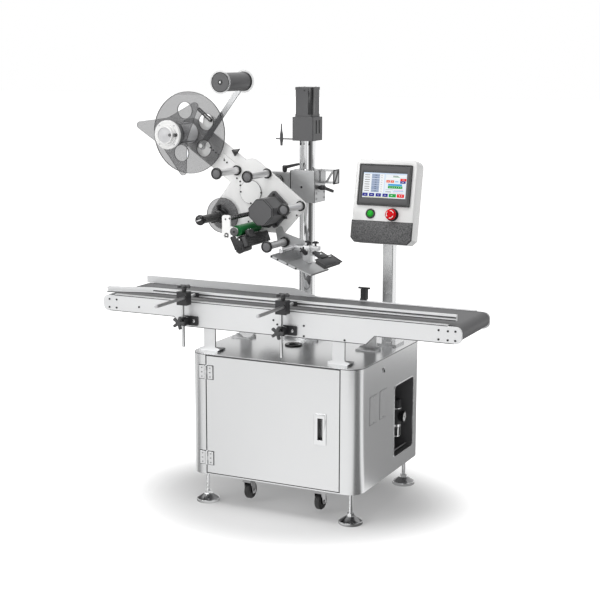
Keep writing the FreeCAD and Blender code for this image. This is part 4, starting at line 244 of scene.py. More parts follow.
def on_panel(u, v, out=0.0):
    """A point on the operator panel's leaning face, in metres; out is in front of it."""
    x, y, z = PANEL_CORNER
    return at(x + u, y + v * sin(LEAN) - out * cos(LEAN), z + v * cos(LEAN) + out * sin(LEAN))


def rectangle(u, v):
    return [(u[0], v[0]), (u[1], v[0]), (u[1], v[1]), (u[0], v[1])]


def circle(u, v, r, count=32):
    return [(u + r * cos(2 * pi * i / count), v + r * sin(2 * pi * i / count)) for i in range(count)]


# %% [markdown]
# Strips and small blocks are cubes stretched between two corners and bevelled. Those of one part and
# one colour are joined, as they would be one moulding.

# %% Blocks, and joining pieces
def block(low, high, rim=1.0, segments=2):
    """A box from corner to corner (mm behind the front) with rounded edges."""
    a, b = at(*low), at(*high)
    pick_nothing()
    bpy.ops.mesh.primitive_cube_add(size=1.0, location=(a + b) / 2)
    piece = bpy.context.object
    piece.scale = [abs(q - p) for p, q in zip(a, b)]
    bpy.ops.object.transform_apply(location=True, rotation=True, scale=True)
    soften_rim(piece, rim, segments)
    return piece


def joined(pieces):
    pick(*pieces)
    if len(pieces) > 1:
        bpy.ops.object.join()
    return bpy.context.object


# %% [markdown]
# Screws repeat all over the machine. A head stands on the origin and points up, and it is turned to the
# face it sits on. Its round rim is a bevel, and its recess an inset that is pushed in.

# %% Model a screw head
TO_FRONT = Matrix.Rotation(pi / 2, 4, "X")
TO_BACK = Matrix.Rotation(-pi / 2, 4, "X")
TO_RIGHT = Matrix.Rotation(pi / 2, 4, "Y")
TO_TOP = Matrix.Identity(4)
TO_PANEL = Matrix.Rotation(pi / 2 - LEAN, 4, "X")
RECESS_RIM = 0.4             # shares of the head's radius or height
RECESS_DEPTH = 0.55
HEAD_ROUND = 0.22


def cap_screw(r, high):
    """A cap screw's head, r and high in mm: its rim is rounded, and a recess is pushed into its top."""
    pick_nothing()
    bpy.ops.mesh.primitive_cylinder_add(vertices=24, radius=r / 1000, depth=high / 1000,
                                        location=(0, 0, high / 2000))
    head = bpy.context.object
    bpy.ops.object.transform_apply(location=True, rotation=True, scale=True)
    edit(head, "EDGE", lambda e, m: all(m.vertices[i].co.z > high / 1000 - 1e-6 for i in e.vertices))
    bpy.ops.mesh.bevel(offset=min(r, high) * HEAD_ROUND / 1000, segments=2, affect="EDGES")
    edit(head, "FACE", lambda f, m: f.normal.z > 0.99 and f.center.z > high / 1000 - 1e-6)
    bpy.ops.mesh.inset(thickness=r * RECESS_RIM / 1000)
    bpy.ops.mesh.extrude_region_move(TRANSFORM_OT_translate={"value": (0, 0, -high * RECESS_DEPTH / 1000)})
    object_mode()
    return head


# %% [markdown]
# What repeats is modelled once. Each copy gets a mesh of its own with its place applied, so it can ride
# on its own body.

# %% Copies of a master
def twins(master, places):
    """Separate copies of a master at (point, turn) places; the master is used up."""
    made = []
    for point, turn in places:
        twin = master.copy()
        twin.data = master.data.copy()
        bpy.context.scene.collection.objects.link(twin)
        twin.matrix_world = Matrix.Translation(point) @ turn
        made.append(twin)
    bpy.data.objects.remove(master)
    for twin in made:
        pick(twin)
        bpy.ops.object.transform_apply(location=True, rotation=True, scale=True)
    return made


def copies(master, places):
    """Copies of a master at (point, turn) places, joined to one piece."""
    return joined(twins(master, places))


# %% [markdown]
# Finishes. Three effects are shared by most of them, so each is one shader group: rounded edges that
# catch light and wear a little, a directional grain for brushed metal, and a speckle for blasted
# aluminium, paint and moulded plastic.

# %% Shader group helpers
def new_group(name, inputs, outputs):
    group = bpy.data.node_groups.new(name, "ShaderNodeTree")
    for label, kind, value in inputs:
        socket = group.interface.new_socket(label, in_out="INPUT", socket_type=kind)
        if value is not None:
            socket.default_value = value
    for label, kind in outputs:
        group.interface.new_socket(label, in_out="OUTPUT", socket_type=kind)
    start = group.nodes.new("NodeGroupInput")
    end = group.nodes.new("NodeGroupOutput")
    return group, start, end


def node(tree, kind, **settings):
    made = tree.nodes.new(kind)
    for key, value in settings.items():
        setattr(made, key, value)
    return made


def math_node(tree, operation, a, b, clamp=False):
    made = node(tree, "ShaderNodeMath", operation=operation, use_clamp=clamp)
    for i, value in enumerate((a, b)):
        if isinstance(value, (int, float)):
            made.inputs[i].default_value = value
        else:
            tree.links.new(value, made.inputs[i])
    return made.outputs[0]


# %% [markdown]
# No pressed or milled edge is a perfect corner. The bevel node rounds the shading without adding a face,
# and where its normal leaves the flat one, noise picks spots that a hand or a cloth has rubbed.

# %% Rounded edges with a little wear
edge_group, g_in, g_out = new_group("rounded edge",
                                    [("Radius", "NodeSocketFloat", 0.0008), ("Scale", "NodeSocketFloat", 60.0)],
                                    [("Normal", "NodeSocketVector"), ("Wear", "NodeSocketFloat")])
round_node = node(edge_group, "ShaderNodeBevel", samples=4)
edge_group.links.new(g_in.outputs["Radius"], round_node.inputs["Radius"])
flat_node = node(edge_group, "ShaderNodeNewGeometry")
facing = node(edge_group, "ShaderNodeVectorMath", operation="DOT_PRODUCT")
edge_group.links.new(round_node.outputs[0], facing.inputs[0])
edge_group.links.new(flat_node.outputs["Normal"], facing.inputs[1])
edge_place = node(edge_group, "ShaderNodeTexCoord")
edge_noise = node(edge_group, "ShaderNodeTexNoise")
edge_group.links.new(edge_place.outputs["Object"], edge_noise.inputs["Vector"])
edge_group.links.new(g_in.outputs["Scale"], edge_noise.inputs["Scale"])
bend_share = math_node(edge_group, "SUBTRACT", 1.0, facing.outputs["Value"])
bend_share = math_node(edge_group, "MULTIPLY", bend_share, 3.0, clamp=True)
wear_share = math_node(edge_group, "MULTIPLY", bend_share, edge_noise.outputs["Fac"], clamp=True)
edge_group.links.new(round_node.outputs[0], g_out.inputs["Normal"])
edge_group.links.new(wear_share, g_out.inputs["Wear"])
print(edge_group.name, "group:", len(edge_group.nodes), "nodes")

# %% [markdown]
# Brushed sheet has fine scratches that all run one way. Noise stretched along one axis gives them, and a
# slow cloud lets the tone drift, so that a wide panel isn't one flat grey.

# %% Directional grain of brushed metal
grain_group, g_in, g_out = new_group("brushed grain",
                                     [("Stretch", "NodeSocketVector", (400.0, 400.0, 6.0)),
                                      ("Depth", "NodeSocketFloat", 0.5)],
                                     [("Grain", "NodeSocketFloat"), ("Cloud", "NodeSocketFloat")])
grain_place = node(grain_group, "ShaderNodeTexCoord")
grain_map = node(grain_group, "ShaderNodeVectorMath", operation="MULTIPLY")
grain_group.links.new(grain_place.outputs["Object"], grain_map.inputs[0])
grain_group.links.new(g_in.outputs["Stretch"], grain_map.inputs[1])
grain_noise = node(grain_group, "ShaderNodeTexNoise")
grain_noise.inputs["Scale"].default_value = 1.0
grain_noise.inputs["Detail"].default_value = 4.0
grain_noise.inputs["Roughness"].default_value = 0.6
grain_group.links.new(grain_map.outputs[0], grain_noise.inputs["Vector"])
cloud_noise = node(grain_group, "ShaderNodeTexNoise")
cloud_noise.inputs["Scale"].default_value = 7.0
cloud_noise.inputs["Detail"].default_value = 3.0
grain_group.links.new(grain_place.outputs["Object"], cloud_noise.inputs["Vector"])
centred = math_node(grain_group, "SUBTRACT", grain_noise.outputs["Fac"], 0.5)
scaled = math_node(grain_group, "MULTIPLY", centred, g_in.outputs["Depth"])
grain_group.links.new(math_node(grain_group, "ADD", scaled, 0.5), g_out.inputs["Grain"])
grain_group.links.new(cloud_noise.outputs["Fac"], g_out.inputs["Cloud"])
print(grain_group.name, "group:", len(grain_group.nodes), "nodes")

# %% [markdown]
# Blasting, spraying and moulding leave an even, fine roughness. Fine noise makes it, with the same slow
# cloud beside it, and the scale alone tells paint from plastic.

# %% Speckle of blasted aluminium, paint and moulded plastic
speckle_group, g_in, g_out = new_group("speckle",
                                       [("Scale", "NodeSocketFloat", 900.0), ("Depth", "NodeSocketFloat", 0.5)],
                                       [("Speckle", "NodeSocketFloat"), ("Cloud", "NodeSocketFloat")])
speckle_place = node(speckle_group, "ShaderNodeTexCoord")
speckle_noise = node(speckle_group, "ShaderNodeTexNoise")
speckle_noise.inputs["Detail"].default_value = 2.0
speckle_group.links.new(speckle_place.outputs["Object"], speckle_noise.inputs["Vector"])
speckle_group.links.new(g_in.outputs["Scale"], speckle_noise.inputs["Scale"])
speckle_cloud = node(speckle_group, "ShaderNodeTexNoise")
speckle_cloud.inputs["Scale"].default_value = 9.0
speckle_group.links.new(speckle_place.outputs["Object"], speckle_cloud.inputs["Vector"])
centred = math_node(speckle_group, "SUBTRACT", speckle_noise.outputs["Fac"], 0.5)
scaled = math_node(speckle_group, "MULTIPLY", centred, g_in.outputs["Depth"])
speckle_group.links.new(math_node(speckle_group, "ADD", scaled, 0.5), g_out.inputs["Speckle"])
speckle_group.links.new(speckle_cloud.outputs["Fac"], g_out.inputs["Cloud"])
print(speckle_group.name, "group:", len(speckle_group.nodes), "nodes")

# %% [markdown]
# Every metal, paint and plastic is built the same way: the group's pattern moves the base colour and
# the roughness a little either side of their mean and feeds a bump, and the rounded edge carries the
# bump's normal. Only the numbers differ.

# %% One builder for textured finishes
def grey(value):
    return (value, value, value)


def finish(name, colour, rough, metal=0.0, pattern="speckle", size=900.0, depth=0.5, bump=0.02, edge=0.7,
           wear=None, spread=0.06, coat=0.0, rough_spread=0.08):
    """size is the speckle's scale, or the grain's three stretches; edge is the rounding in mm."""
    material = bpy.data.materials.new(name)
    material.use_nodes = True
    tree = material.node_tree
    shader = tree.nodes["Principled BSDF"]
    group = node(tree, "ShaderNodeGroup", node_tree=grain_group if pattern == "grain" else speckle_group)
    if pattern == "grain":
        group.inputs["Stretch"].default_value = size
        mark = group.outputs["Grain"]
    else:
        group.inputs["Scale"].default_value = size
        mark = group.outputs["Speckle"]
    group.inputs["Depth"].default_value = depth
    cloud = group.outputs["Cloud"]
    round_edge = node(tree, "ShaderNodeGroup", node_tree=edge_group)
    round_edge.inputs["Radius"].default_value = edge / 1000
    both = math_node(tree, "ADD", math_node(tree, "MULTIPLY", mark, 0.75), math_node(tree, "MULTIPLY", cloud, 0.25))
    tint = node(tree, "ShaderNodeMix", data_type="RGBA")
    tree.links.new(both, tint.inputs["Factor"])
    tint.inputs["A"].default_value = tuple(max(0.0, c * (1 - spread * 2)) for c in colour) + (1,)
    tint.inputs["B"].default_value = tuple(min(1.0, c * (1 + spread * 2)) for c in colour) + (1,)
    out_colour = tint.outputs["Result"]
    if wear:
        worn = node(tree, "ShaderNodeMix", data_type="RGBA")
        tree.links.new(round_edge.outputs["Wear"], worn.inputs["Factor"])
        tree.links.new(out_colour, worn.inputs["A"])
        worn.inputs["B"].default_value = tuple(wear) + (1,)
        out_colour = worn.outputs["Result"]
    tree.links.new(out_colour, shader.inputs["Base Color"])
    spans = node(tree, "ShaderNodeMapRange")
    tree.links.new(both, spans.inputs["Value"])
    spans.inputs["To Min"].default_value = max(0.02, rough - rough_spread)
    spans.inputs["To Max"].default_value = min(1.0, rough + rough_spread)
    tree.links.new(spans.outputs["Result"], shader.inputs["Roughness"])
    lift = node(tree, "ShaderNodeBump")
    lift.inputs["Strength"].default_value = 1.0
    lift.inputs["Distance"].default_value = bump / 1000
    tree.links.new(mark, lift.inputs["Height"])
    tree.links.new(round_edge.outputs["Normal"], lift.inputs["Normal"])
    tree.links.new(lift.outputs["Normal"], shader.inputs["Normal"])
    shader.inputs["Metallic"].default_value = metal
    shader.inputs["Coat Weight"].default_value = coat
    return material


# %% [markdown]
# The cabinet is satin stainless sheet with a fine vertical grain, the conveyor sides are blasted
# aluminium, and the head plate is white enamel. The column and feet are hard chrome.

# %% Metals
cabinet_steel = finish("cabinet steel", (0.735, 0.74, 0.745), 0.25, metal=0.9, pattern="grain",
                       size=(1500.0, 1500.0, 160.0), depth=0.4, bump=0.003, spread=0.022, rough_spread=0.03,
                       edge=1.2)
side_aluminium = finish("blasted aluminium", (0.76, 0.765, 0.77), 0.45, metal=0.7, size=1500.0, depth=0.9,
                        bump=0.02, spread=0.05, edge=0.8)
brushed_steel = finish("brushed steel", (0.62, 0.625, 0.63), 0.27, metal=1.0, pattern="grain",
                       size=(60.0, 1600.0, 1600.0), depth=0.6, bump=0.01, spread=0.08, edge=0.6)
turned_steel = finish("turned steel", (0.66, 0.66, 0.67), 0.22, metal=1.0, pattern="grain",
                      size=(900.0, 90.0, 900.0), depth=0.4, bump=0.002, spread=0.03, rough_spread=0.03, edge=0.4)
roller_steel = finish("ground roller", (0.78, 0.78, 0.785), 0.3, metal=0.7, pattern="grain",
                      size=(900.0, 90.0, 900.0), depth=0.4, bump=0.002, spread=0.03, rough_spread=0.03, edge=0.4)
block_aluminium = finish("milled aluminium", (0.47, 0.475, 0.48), 0.36, metal=0.9, pattern="grain",
                         size=(1200.0, 1200.0, 70.0), depth=0.6, bump=0.012, spread=0.06, edge=0.9)
chrome = finish("hard chrome", (0.78, 0.785, 0.79), 0.08, metal=1.0, pattern="grain", size=(300.0, 300.0, 500.0),
                depth=0.3, bump=0.0006, spread=0.02, rough_spread=0.015, edge=0.8)
screw_steel = finish("screw steel", (0.42, 0.42, 0.43), 0.3, metal=1.0, size=700.0, bump=0.006, edge=0.2)
black_screw = finish("blackened screw", (0.02, 0.02, 0.021), 0.42, metal=0.3, size=700.0, bump=0.008, edge=0.2)
dark_chrome = finish("dark chrome", (0.30, 0.30, 0.305), 0.13, metal=1.0, size=500.0, depth=0.3, bump=0.003,
                     spread=0.05, edge=0.5)
print("materials after the metals:", len(bpy.data.materials))

# %% [markdown]
# The head plate is sprayed enamel with a thin clear coat. Motor, knobs and holders are black plastics
# that differ in grain and gloss: the panel's chin is by far the coarsest, the buttons are the smoothest.

# %% Paints and plastics
white_enamel = finish("white enamel", (0.86, 0.86, 0.855), 0.3, size=260.0, depth=0.4, bump=0.02, spread=0.015,
                      coat=0.3, edge=0.9)
dark_enamel = finish("dark enamel", (0.085, 0.085, 0.088), 0.4, size=700.0, depth=0.6, bump=0.02, spread=0.08,
                     edge=1.0, wear=(0.2, 0.2, 0.2))
black_plastic = finish("black plastic", (0.022, 0.022, 0.024), 0.42, size=1400.0, depth=0.8, bump=0.03, spread=0.12,
                       edge=0.8, wear=(0.07, 0.07, 0.07))
black_gloss = finish("glossy black", (0.012, 0.012, 0.013), 0.24, size=900.0, depth=0.4, bump=0.006, spread=0.1,
                     edge=0.5)
grey_disc = finish("light grey moulding", (0.52, 0.52, 0.53), 0.36, size=900.0, depth=0.5, bump=0.008, spread=0.03,
                   edge=0.5)
drum_grey = finish("grey drum", (0.17, 0.17, 0.175), 0.3, metal=0.25, pattern="grain", size=(900.0, 30.0, 900.0),
                   depth=0.6, bump=0.01, spread=0.08, edge=0.6)
grey_cap = finish("grey cap", (0.13, 0.13, 0.135), 0.45, size=1400.0, bump=0.02, edge=0.5)
grain_plastic = finish("coarse grain plastic", (0.10, 0.10, 0.102), 0.5, size=230.0, depth=2.4, bump=0.5,
                       spread=0.42, edge=1.5)
white_plastic = finish("white moulding", (0.74, 0.74, 0.735), 0.28, size=900.0, depth=0.4, bump=0.01, spread=0.012,
                       coat=0.2, edge=1.5)
bezel_plastic = finish("bezel plastic", (0.062, 0.062, 0.064), 0.38, size=1200.0, bump=0.02, edge=0.8)
red_gloss = finish("red button", (0.62, 0.002, 0.006), 0.42, size=500.0, depth=0.3, bump=0.004, spread=0.03,
                   edge=0.8)
green_gloss = finish("green button", (0.02, 0.48, 0.03), 0.4, size=500.0, depth=0.3, bump=0.004, spread=0.03,
                     edge=0.6)
# The two buttons are deep colours, so they reflect little of the white paper
for button in (red_gloss, green_gloss):
    button.node_tree.nodes["Principled BSDF"].inputs["Specular IOR Level"].default_value = 0.12
grey_sleeve = finish("grey sleeve", (0.075, 0.075, 0.078), 0.32, pattern="grain", size=(900.0, 20.0, 900.0),
                     depth=0.5, bump=0.01, edge=0.4)
dark_knob = finish("knob plastic", (0.052, 0.052, 0.054), 0.4, size=1400.0, depth=0.8, bump=0.02, spread=0.1,
                   edge=0.8, wear=(0.16, 0.16, 0.16))
grey_rod = finish("grey rod", (0.36, 0.36, 0.365), 0.3, metal=0.9, pattern="grain", size=(900.0, 60.0, 900.0),
                  depth=0.5, bump=0.006, edge=0.4)
print("materials after paints and plastics:", len(bpy.data.materials))

# %% [markdown]
# Belt, tyres and roller covers are matt, so they are rough and have no coat. The belt's grain is a little
# coarser along its travel, and the feed roller's green cover is the one strong colour on the head.

# %% Rubbers and belt
belt_cover = finish("belt cover", (0.10, 0.10, 0.103), 0.5, pattern="grain", size=(500.0, 900.0, 500.0), depth=1.0,
                    bump=0.05, spread=0.10, edge=0.4)
tyre_rubber = finish("tyre rubber", (0.018, 0.018, 0.018), 0.5, size=600.0, bump=0.04, edge=1.2)
green_cover = finish("green cover", (0.008, 0.15, 0.035), 0.35, size=800.0, depth=0.8, bump=0.03, spread=0.1,
                     edge=0.6)
black_cover = finish("black cover", (0.03, 0.03, 0.03), 0.45, size=900.0, bump=0.05, edge=0.5)
print("materials after the rubbers:", len(bpy.data.materials))


# %% [markdown]
# The reel's flanges are smoked acrylic: thin, clear and grey. A solid glass shader would need many
# light bounces, so the sheet lets light straight through and adds a glossy film on top.

# %% Smoked acrylic and clear rims
def clear_sheet(name, colour, alpha, rough=0.08):
    material = bpy.data.materials.new(name)
    material.use_nodes = True
    tree = material.node_tree
    shader = tree.nodes["Principled BSDF"]
    group = node(tree, "ShaderNodeGroup", node_tree=speckle_group)
    group.inputs["Scale"].default_value = 60.0
    group.inputs["Depth"].default_value = 0.3
    tint = node(tree, "ShaderNodeMix", data_type="RGBA")
    tree.links.new(group.outputs["Cloud"], tint.inputs["Factor"])
    tint.inputs["A"].default_value = tuple(c * 0.9 for c in colour) + (1,)
    tint.inputs["B"].default_value = tuple(c * 1.1 for c in colour) + (1,)
    tree.links.new(tint.outputs["Result"], shader.inputs["Base Color"])
    spans = node(tree, "ShaderNodeMapRange")
    tree.links.new(group.outputs["Speckle"], spans.inputs["Value"])
    spans.inputs["To Min"].default_value = rough * 0.5
    spans.inputs["To Max"].default_value = rough * 1.6
    tree.links.new(spans.outputs["Result"], shader.inputs["Roughness"])
    shader.inputs["Alpha"].default_value = alpha
    material.surface_render_method = "BLENDED"
    return material


smoked_acrylic = clear_sheet("smoked acrylic", (0.10, 0.10, 0.105), 0.43)
smoke_edge = clear_sheet("smoky edge", (0.02, 0.02, 0.021), 0.88, rough=0.2)
clear_rim = clear_sheet("clear rim", (0.6, 0.6, 0.61), 0.3, rough=0.05)
print("materials after the clear sheets:", len(bpy.data.materials))

# %% [markdown]
# The CAD nodes whose shape is right stay as they are, and only get their finish here. What replaces or
# adds to a node is modelled further down.

# %% Finishes for the CAD nodes
NODE_FINISH = {
    cabinet_steel: "cabinet_shell cabinet_door panel_post",
    side_aluminium: "conveyor_frame drive_case guide_rail rear_guide_plate",
    brushed_steel: "electrics_plate tail_roller drive_roller drive_drum belt_gearmotor lift_screw",
    roller_steel: "guide_roller_1 guide_roller_2 guide_roller_3 guide_roller_4",
    block_aluminium: "lift_block peel_plate dancer_arm",
    grey_disc: "unwind_core",
    dark_chrome: "caster_mounts caster_fork_left caster_fork_right",
    chrome: "foot_front_left foot_front_right foot_rear_left foot_rear_right main_column",
    black_plastic: "air_regulator guide_posts guide_brackets bracket_knob_left"
                   " bracket_knob_right post_knob_left post_knob_right product_sensor tilt_lever block_lever"
                   " nip_bracket rewind_spindle",
    white_enamel: "head_plate",
    dark_enamel: "lift_drive feed_motor regulator_recess",
    belt_cover: "conveyor_belt",
    tyre_rubber: "caster_wheel_front_left caster_wheel_front_right caster_wheel_rear_left caster_wheel_rear_right",
    white_plastic: "panel_housing",
    bezel_plastic: "touch_screen",
    green_gloss: "start_button",
    red_gloss: "emergency_stop",
    green_cover: "feed_roller",
    black_cover: "pressure_roller",
    grey_sleeve: "dancer_roller",
    smoked_acrylic: "unwind_disc outer_flange",
}
for material, names in NODE_FINISH.items():
    for name in names.split():
        solid = nodes[name]
        if not solid.material_slots:
            solid.data.materials.append(material)
        for holder in solid.material_slots:
            holder.material = material
dressed = {name for names in NODE_FINISH.values() for name in names.split()}
print("CAD nodes without a finish:", sorted(set(nodes) - dressed))

# %% [markdown]
# Few real outlines have sharp corners. Each corner in these lists has its own radius, and is replaced by
# an arc of short edges that touches both of its sides.

# %% Outlines with rounded corners
def rounded(corners, steps=6):
    """Outline points through corners (u, v, radius), each corner replaced by an arc."""
    points = []
    for i, (u, v, r) in enumerate(corners):
        here = Vector((u, v))
        back = (Vector(corners[i - 1][:2]) - here).normalized()
        ahead = (Vector(corners[(i + 1) % len(corners)][:2]) - here).normalized()
        half = back.angle(ahead) / 2
        middle = here + (back + ahead).normalized() * (r / sin(half))
        first = here + back * (r / math.tan(half)) - middle
        turn = first.angle_signed(here + ahead * (r / math.tan(half)) - middle)
        for k in range(steps + 1):
            points.append(tuple(middle + Matrix.Rotation(-turn * k / steps, 2) @ first))
    return points


def round_rectangle(u, v, r, steps=6):
    return rounded([(u[0], v[0], r), (u[1], v[0], r), (u[1], v[1], r), (u[0], v[1], r)], steps)


# %% [markdown]
# A frame, such as the display's bezel, is bridged between an outer and an inner outline with as many
# points. The flat result is then made thick, so the opening needs no cut.

# %% Frames between two outlines
def loop(points, face):
    """A closed outline of edges through points (u, v)."""
    piece = draw([face(u, v, 0) for u, v in points] + [face(*points[0], 0)])
    bpy.ops.mesh.select_all(action="SELECT")
    bpy.ops.mesh.remove_doubles(threshold=SAME_PLACE)
    object_mode()
    return piece


def framed(outer, inner, thick, face, rim=0.0):
    """A flat frame between two closed outlines, with its thickness along face's w."""
    piece = joined([loop(outer, face), loop(inner, face)])
    bpy.ops.object.mode_set(mode="EDIT")
    bpy.ops.mesh.select_mode(type="EDGE")
    bpy.ops.mesh.select_all(action="SELECT")
    bpy.ops.mesh.bridge_edge_loops()
    return thicken(piece, thick, face, rim)


# %% [markdown]
# Some pieces need a second finish on a few faces, such as the dark edge of a clear sheet. A master is
# turned about the upright axis through the origin, and its copies can be laid on any face.

# %% Second finish, masters and rings
def second_finish(piece, material, wanted):
    """A second material on the faces for which wanted(face) is true."""
    piece.data.materials.append(material)
    edit(piece, "FACE", lambda f, m: wanted(f))
    piece.active_material_index = len(piece.data.materials) - 1
    bpy.ops.object.material_slot_assign()
    object_mode()


def stood(profile, steps=48):
    """A master turned about the upright axis through the origin: (radius, height) in mm."""
    return spun(profile, (0, 0, 0), "z", steps)


def hoop(r_in, r_out, y0, y1, x, z, round_off=0.5):
    """A ring about an axis along the depth, with its outer corners taken off."""
    c = round_off
    return turned([(r_in, y0), (r_out - c, y0), (r_out, y0 + c), (r_out, y1 - c), (r_out - c, y1), (r_in, y1),
                   (r_in, y0)], x, z)


# %% [markdown]
# The operator panel: one white moulding with a coarse-grained dark chin let into its front, a bezel with
# a black outline round the display, and two push buttons in black collars.

# %% Panel housing and chin
def behind_panel(u, v, w):
    """w runs from the panel's face into the housing."""
    return on_panel(u, v, -w)


SHELL = ((-18, 168, 24), (218, 168, 24), (218, -119, 6), (201, -136, 6), (-1, -136, 6), (-18, -119, 6))
shell = plate(rounded(SHELL), 66, behind_panel)
soften_rim(shell, 5.0, 4, 60)
done(shell, "panel_moulding", white_plastic, "machine")
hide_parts("panel_housing")
CHIN = ((-18.3, -56, 0.6), (218.3, -56, 0.6), (218.3, -120, 5), (202, -136.3, 5), (-2, -136.3, 5), (-18.3, -120, 5))
backing = plate(rounded(CHIN), 3.2, lambda u, v, w: on_panel(u, v, -2.2 + w))
done(backing, "panel_chin_edge", black_gloss, "machine")
INNER = ((-15.6, -58.2, 1), (215.6, -58.2, 1), (215.6, -118.8, 4), (200.8, -133.6, 4), (-0.8, -133.6, 4),
         (-15.6, -118.8, 4))
chin = plate(rounded(INNER), 2.2, lambda u, v, w: on_panel(u, v, 0.4 + w), rim=0.7)
done(chin, "panel_chin", grain_plastic, "machine")
tell("panel housing")

# %% [markdown]
# The display sits in a dark bezel with a glossy black outline. Each is a flat frame bridged between two
# rounded rectangles, stepped back towards the display, because that is how the real one catches light.

# %% Bezel round the display
rim_piece = framed(round_rectangle((-2, 202), (-2, 148), 4),
                   round_rectangle((4, 196), (4, 142), 3), 6.2, lambda u, v, w: on_panel(u, v, w + 0.2), 0.8)
done(rim_piece, "bezel_outline", black_gloss, "machine")
face_piece = framed(round_rectangle((4, 196), (4, 142), 3),
                    round_rectangle((14.5, 185.5), (25.5, 118.5), 1), 1.6,
                    lambda u, v, w: on_panel(u, v, w + 5.2), 0.5)
done(face_piece, "bezel_face", bezel_plastic, "machine")
done(framed([(14.5, 25.5), (185.5, 25.5), (185.5, 118.5), (14.5, 118.5)],
            [(16, 27), (184, 27), (184, 117), (16, 117)], 1.5, lambda u, v, w: on_panel(u, v, w + 4.6)),
     "display_surround", black_gloss, "machine")
tell("bezel")

# %% [markdown]
# A display is its own light, so its tiles glow a little in their own colour. A faint speckle keeps them
# from looking like printed paper.

# %% Glowing tiles
def lit(name, colour):
    """A tile that glows in its colour, with a faint speckle as a display has."""
    material = bpy.data.materials.new("display " + name)
    material.use_nodes = True
    tree = material.node_tree
    shader = tree.nodes["Principled BSDF"]
    shader.inputs["Emission Strength"].default_value = 0.85
    group = node(tree, "ShaderNodeGroup", node_tree=speckle_group)
    group.inputs["Scale"].default_value = 2500.0
    group.inputs["Depth"].default_value = 0.6
    for socket, low, high in (("Base Color", 0.10, 0.16), ("Emission Color", 0.88, 1.12)):
        tint = node(tree, "ShaderNodeMix", data_type="RGBA")
        tree.links.new(group.outputs["Speckle"], tint.inputs["Factor"])
        tint.inputs["A"].default_value = tuple(c * low for c in colour) + (1,)
        tint.inputs["B"].default_value = tuple(min(1.0, c * high) for c in colour) + (1,)
        tree.links.new(tint.outputs["Result"], shader.inputs[socket])
    shader.inputs["Roughness"].default_value = 0.25
    shader.inputs["Specular IOR Level"].default_value = 0.15
    return material


# %% [markdown]
# All tiles of one colour are planes joined into one piece. They are placed in shares of the display,
# and each layer lies a little in front of the one below, so that none of them flicker.

# %% Lay tiles on the display
DISPLAY_LEFT, DISPLAY_TOP = 16, 117     # mm from the bezel's lower left corner
DISPLAY_WIDE, DISPLAY_HIGH = 168, 90
DISPLAY_FACE = 4.55                     # mm in front of the panel's face
LAYER = 0.05                            # mm from one layer of tiles to the next


def tiles(name, colour, spans, level):
    """spans are (left, right, top, bottom) shares of the display, counted from its upper left corner."""
    made = []
    for left, right, top, bottom in spans:
        u = (DISPLAY_LEFT + DISPLAY_WIDE * left, DISPLAY_LEFT + DISPLAY_WIDE * right)
        v = (DISPLAY_TOP - DISPLAY_HIGH * top, DISPLAY_TOP - DISPLAY_HIGH * bottom)
        place = on_panel(sum(u) / 2, sum(v) / 2, DISPLAY_FACE + LAYER * level)
        bpy.ops.mesh.primitive_plane_add(size=0.001, location=place, rotation=(pi / 2 - LEAN, 0, 0))
        tile = bpy.context.object
        tile.scale = (u[1] - u[0], v[0] - v[1], 1)
        made.append(tile)
    piece = joined(made)
    done(piece, "display_" + name, lit(name, colour), "machine")


# %% [markdown]
# The display shows a generic running page: a table on the left, readings and buttons on the right, and a
# row of keys along the bottom. It is laid from back to front.

# %% The page on the display
pick_nothing()
KEYS = (0.005, 0.157, 0.313, 0.470)
ROWS = (0.10, 0.19, 0.29, 0.38, 0.47, 0.56, 0.64, 0.73)
tiles("page", (0.80, 0.86, 0.93), [(0.0, 1.0, 0.0, 1.0)], 0)
tiles("header", (0.62, 0.74, 0.92), [(0.0, 1.0, 0.0, 0.045), (0.485, 0.505, 0.05, 0.79)], 1)
tiles("labels", (0.93, 0.95, 0.97), [(0.01, 0.18, r - 0.035, r + 0.035) for r in ROWS]
      + [(0.385, 0.475, r - 0.035, r + 0.035) for r in ROWS] + [(0.53, 0.98, 0.09, 0.13), (0.53, 0.84, 0.17, 0.24)],
      1)
tiles("values", (0.30, 0.37, 0.52), [(0.195, 0.375, r - 0.041, r + 0.041) for r in ROWS], 1)
tiles("marks", (0.05, 0.055, 0.08), [(0.035, 0.15, r - 0.011, r + 0.011) for r in ROWS]
      + [(0.27, 0.31, r - 0.009, r + 0.009) for r in ROWS] + [(0.53, 0.66, 0.735, 0.755), (0.68, 0.80, 0.10, 0.12)],
      2)
tiles("faint", (0.45, 0.47, 0.52), [(0.405, 0.445, r - 0.010, r + 0.010) for r in ROWS]
      + [(0.53, 0.70, 0.645, 0.66)], 2)
tiles("orange", (0.82, 0.09, 0.004), [(0.535, 0.615, 0.28, 0.375), (0.630, 0.71, 0.28, 0.375)], 2)
tiles("red", (0.80, 0.0, 0.0), [(0.85, 0.99, 0.20, 0.295), (0.80, 0.965, 0.82, 0.955)], 2)
tiles("navy", (0.005, 0.006, 0.26), [(0.85, 0.975, 0.30, 0.395)] + [(x, x + 0.122, 0.82, 0.95) for x in KEYS], 2)
tiles("cyan", (0.02, 0.36, 0.72), [(0.58, 0.90, 0.425, 0.495), (0.735, 0.81, 0.315, 0.345),
                                   (0.70, 0.94, 0.70, 0.715)], 2)
tiles("green", (0.01, 0.36, 0.05), [(0.58, 0.91, 0.505, 0.605), (0.615, 0.78, 0.82, 0.955),
                                    (0.68, 0.83, 0.135, 0.155)], 2)
tiles("pink", (0.72, 0.30, 0.60), [(0.72, 0.93, 0.655, 0.67), (0.70, 0.93, 0.765, 0.78)], 2)
tiles("yellow", (0.55, 0.50, 0.03), [(0.06, 0.60, 0.968, 0.982)], 2)
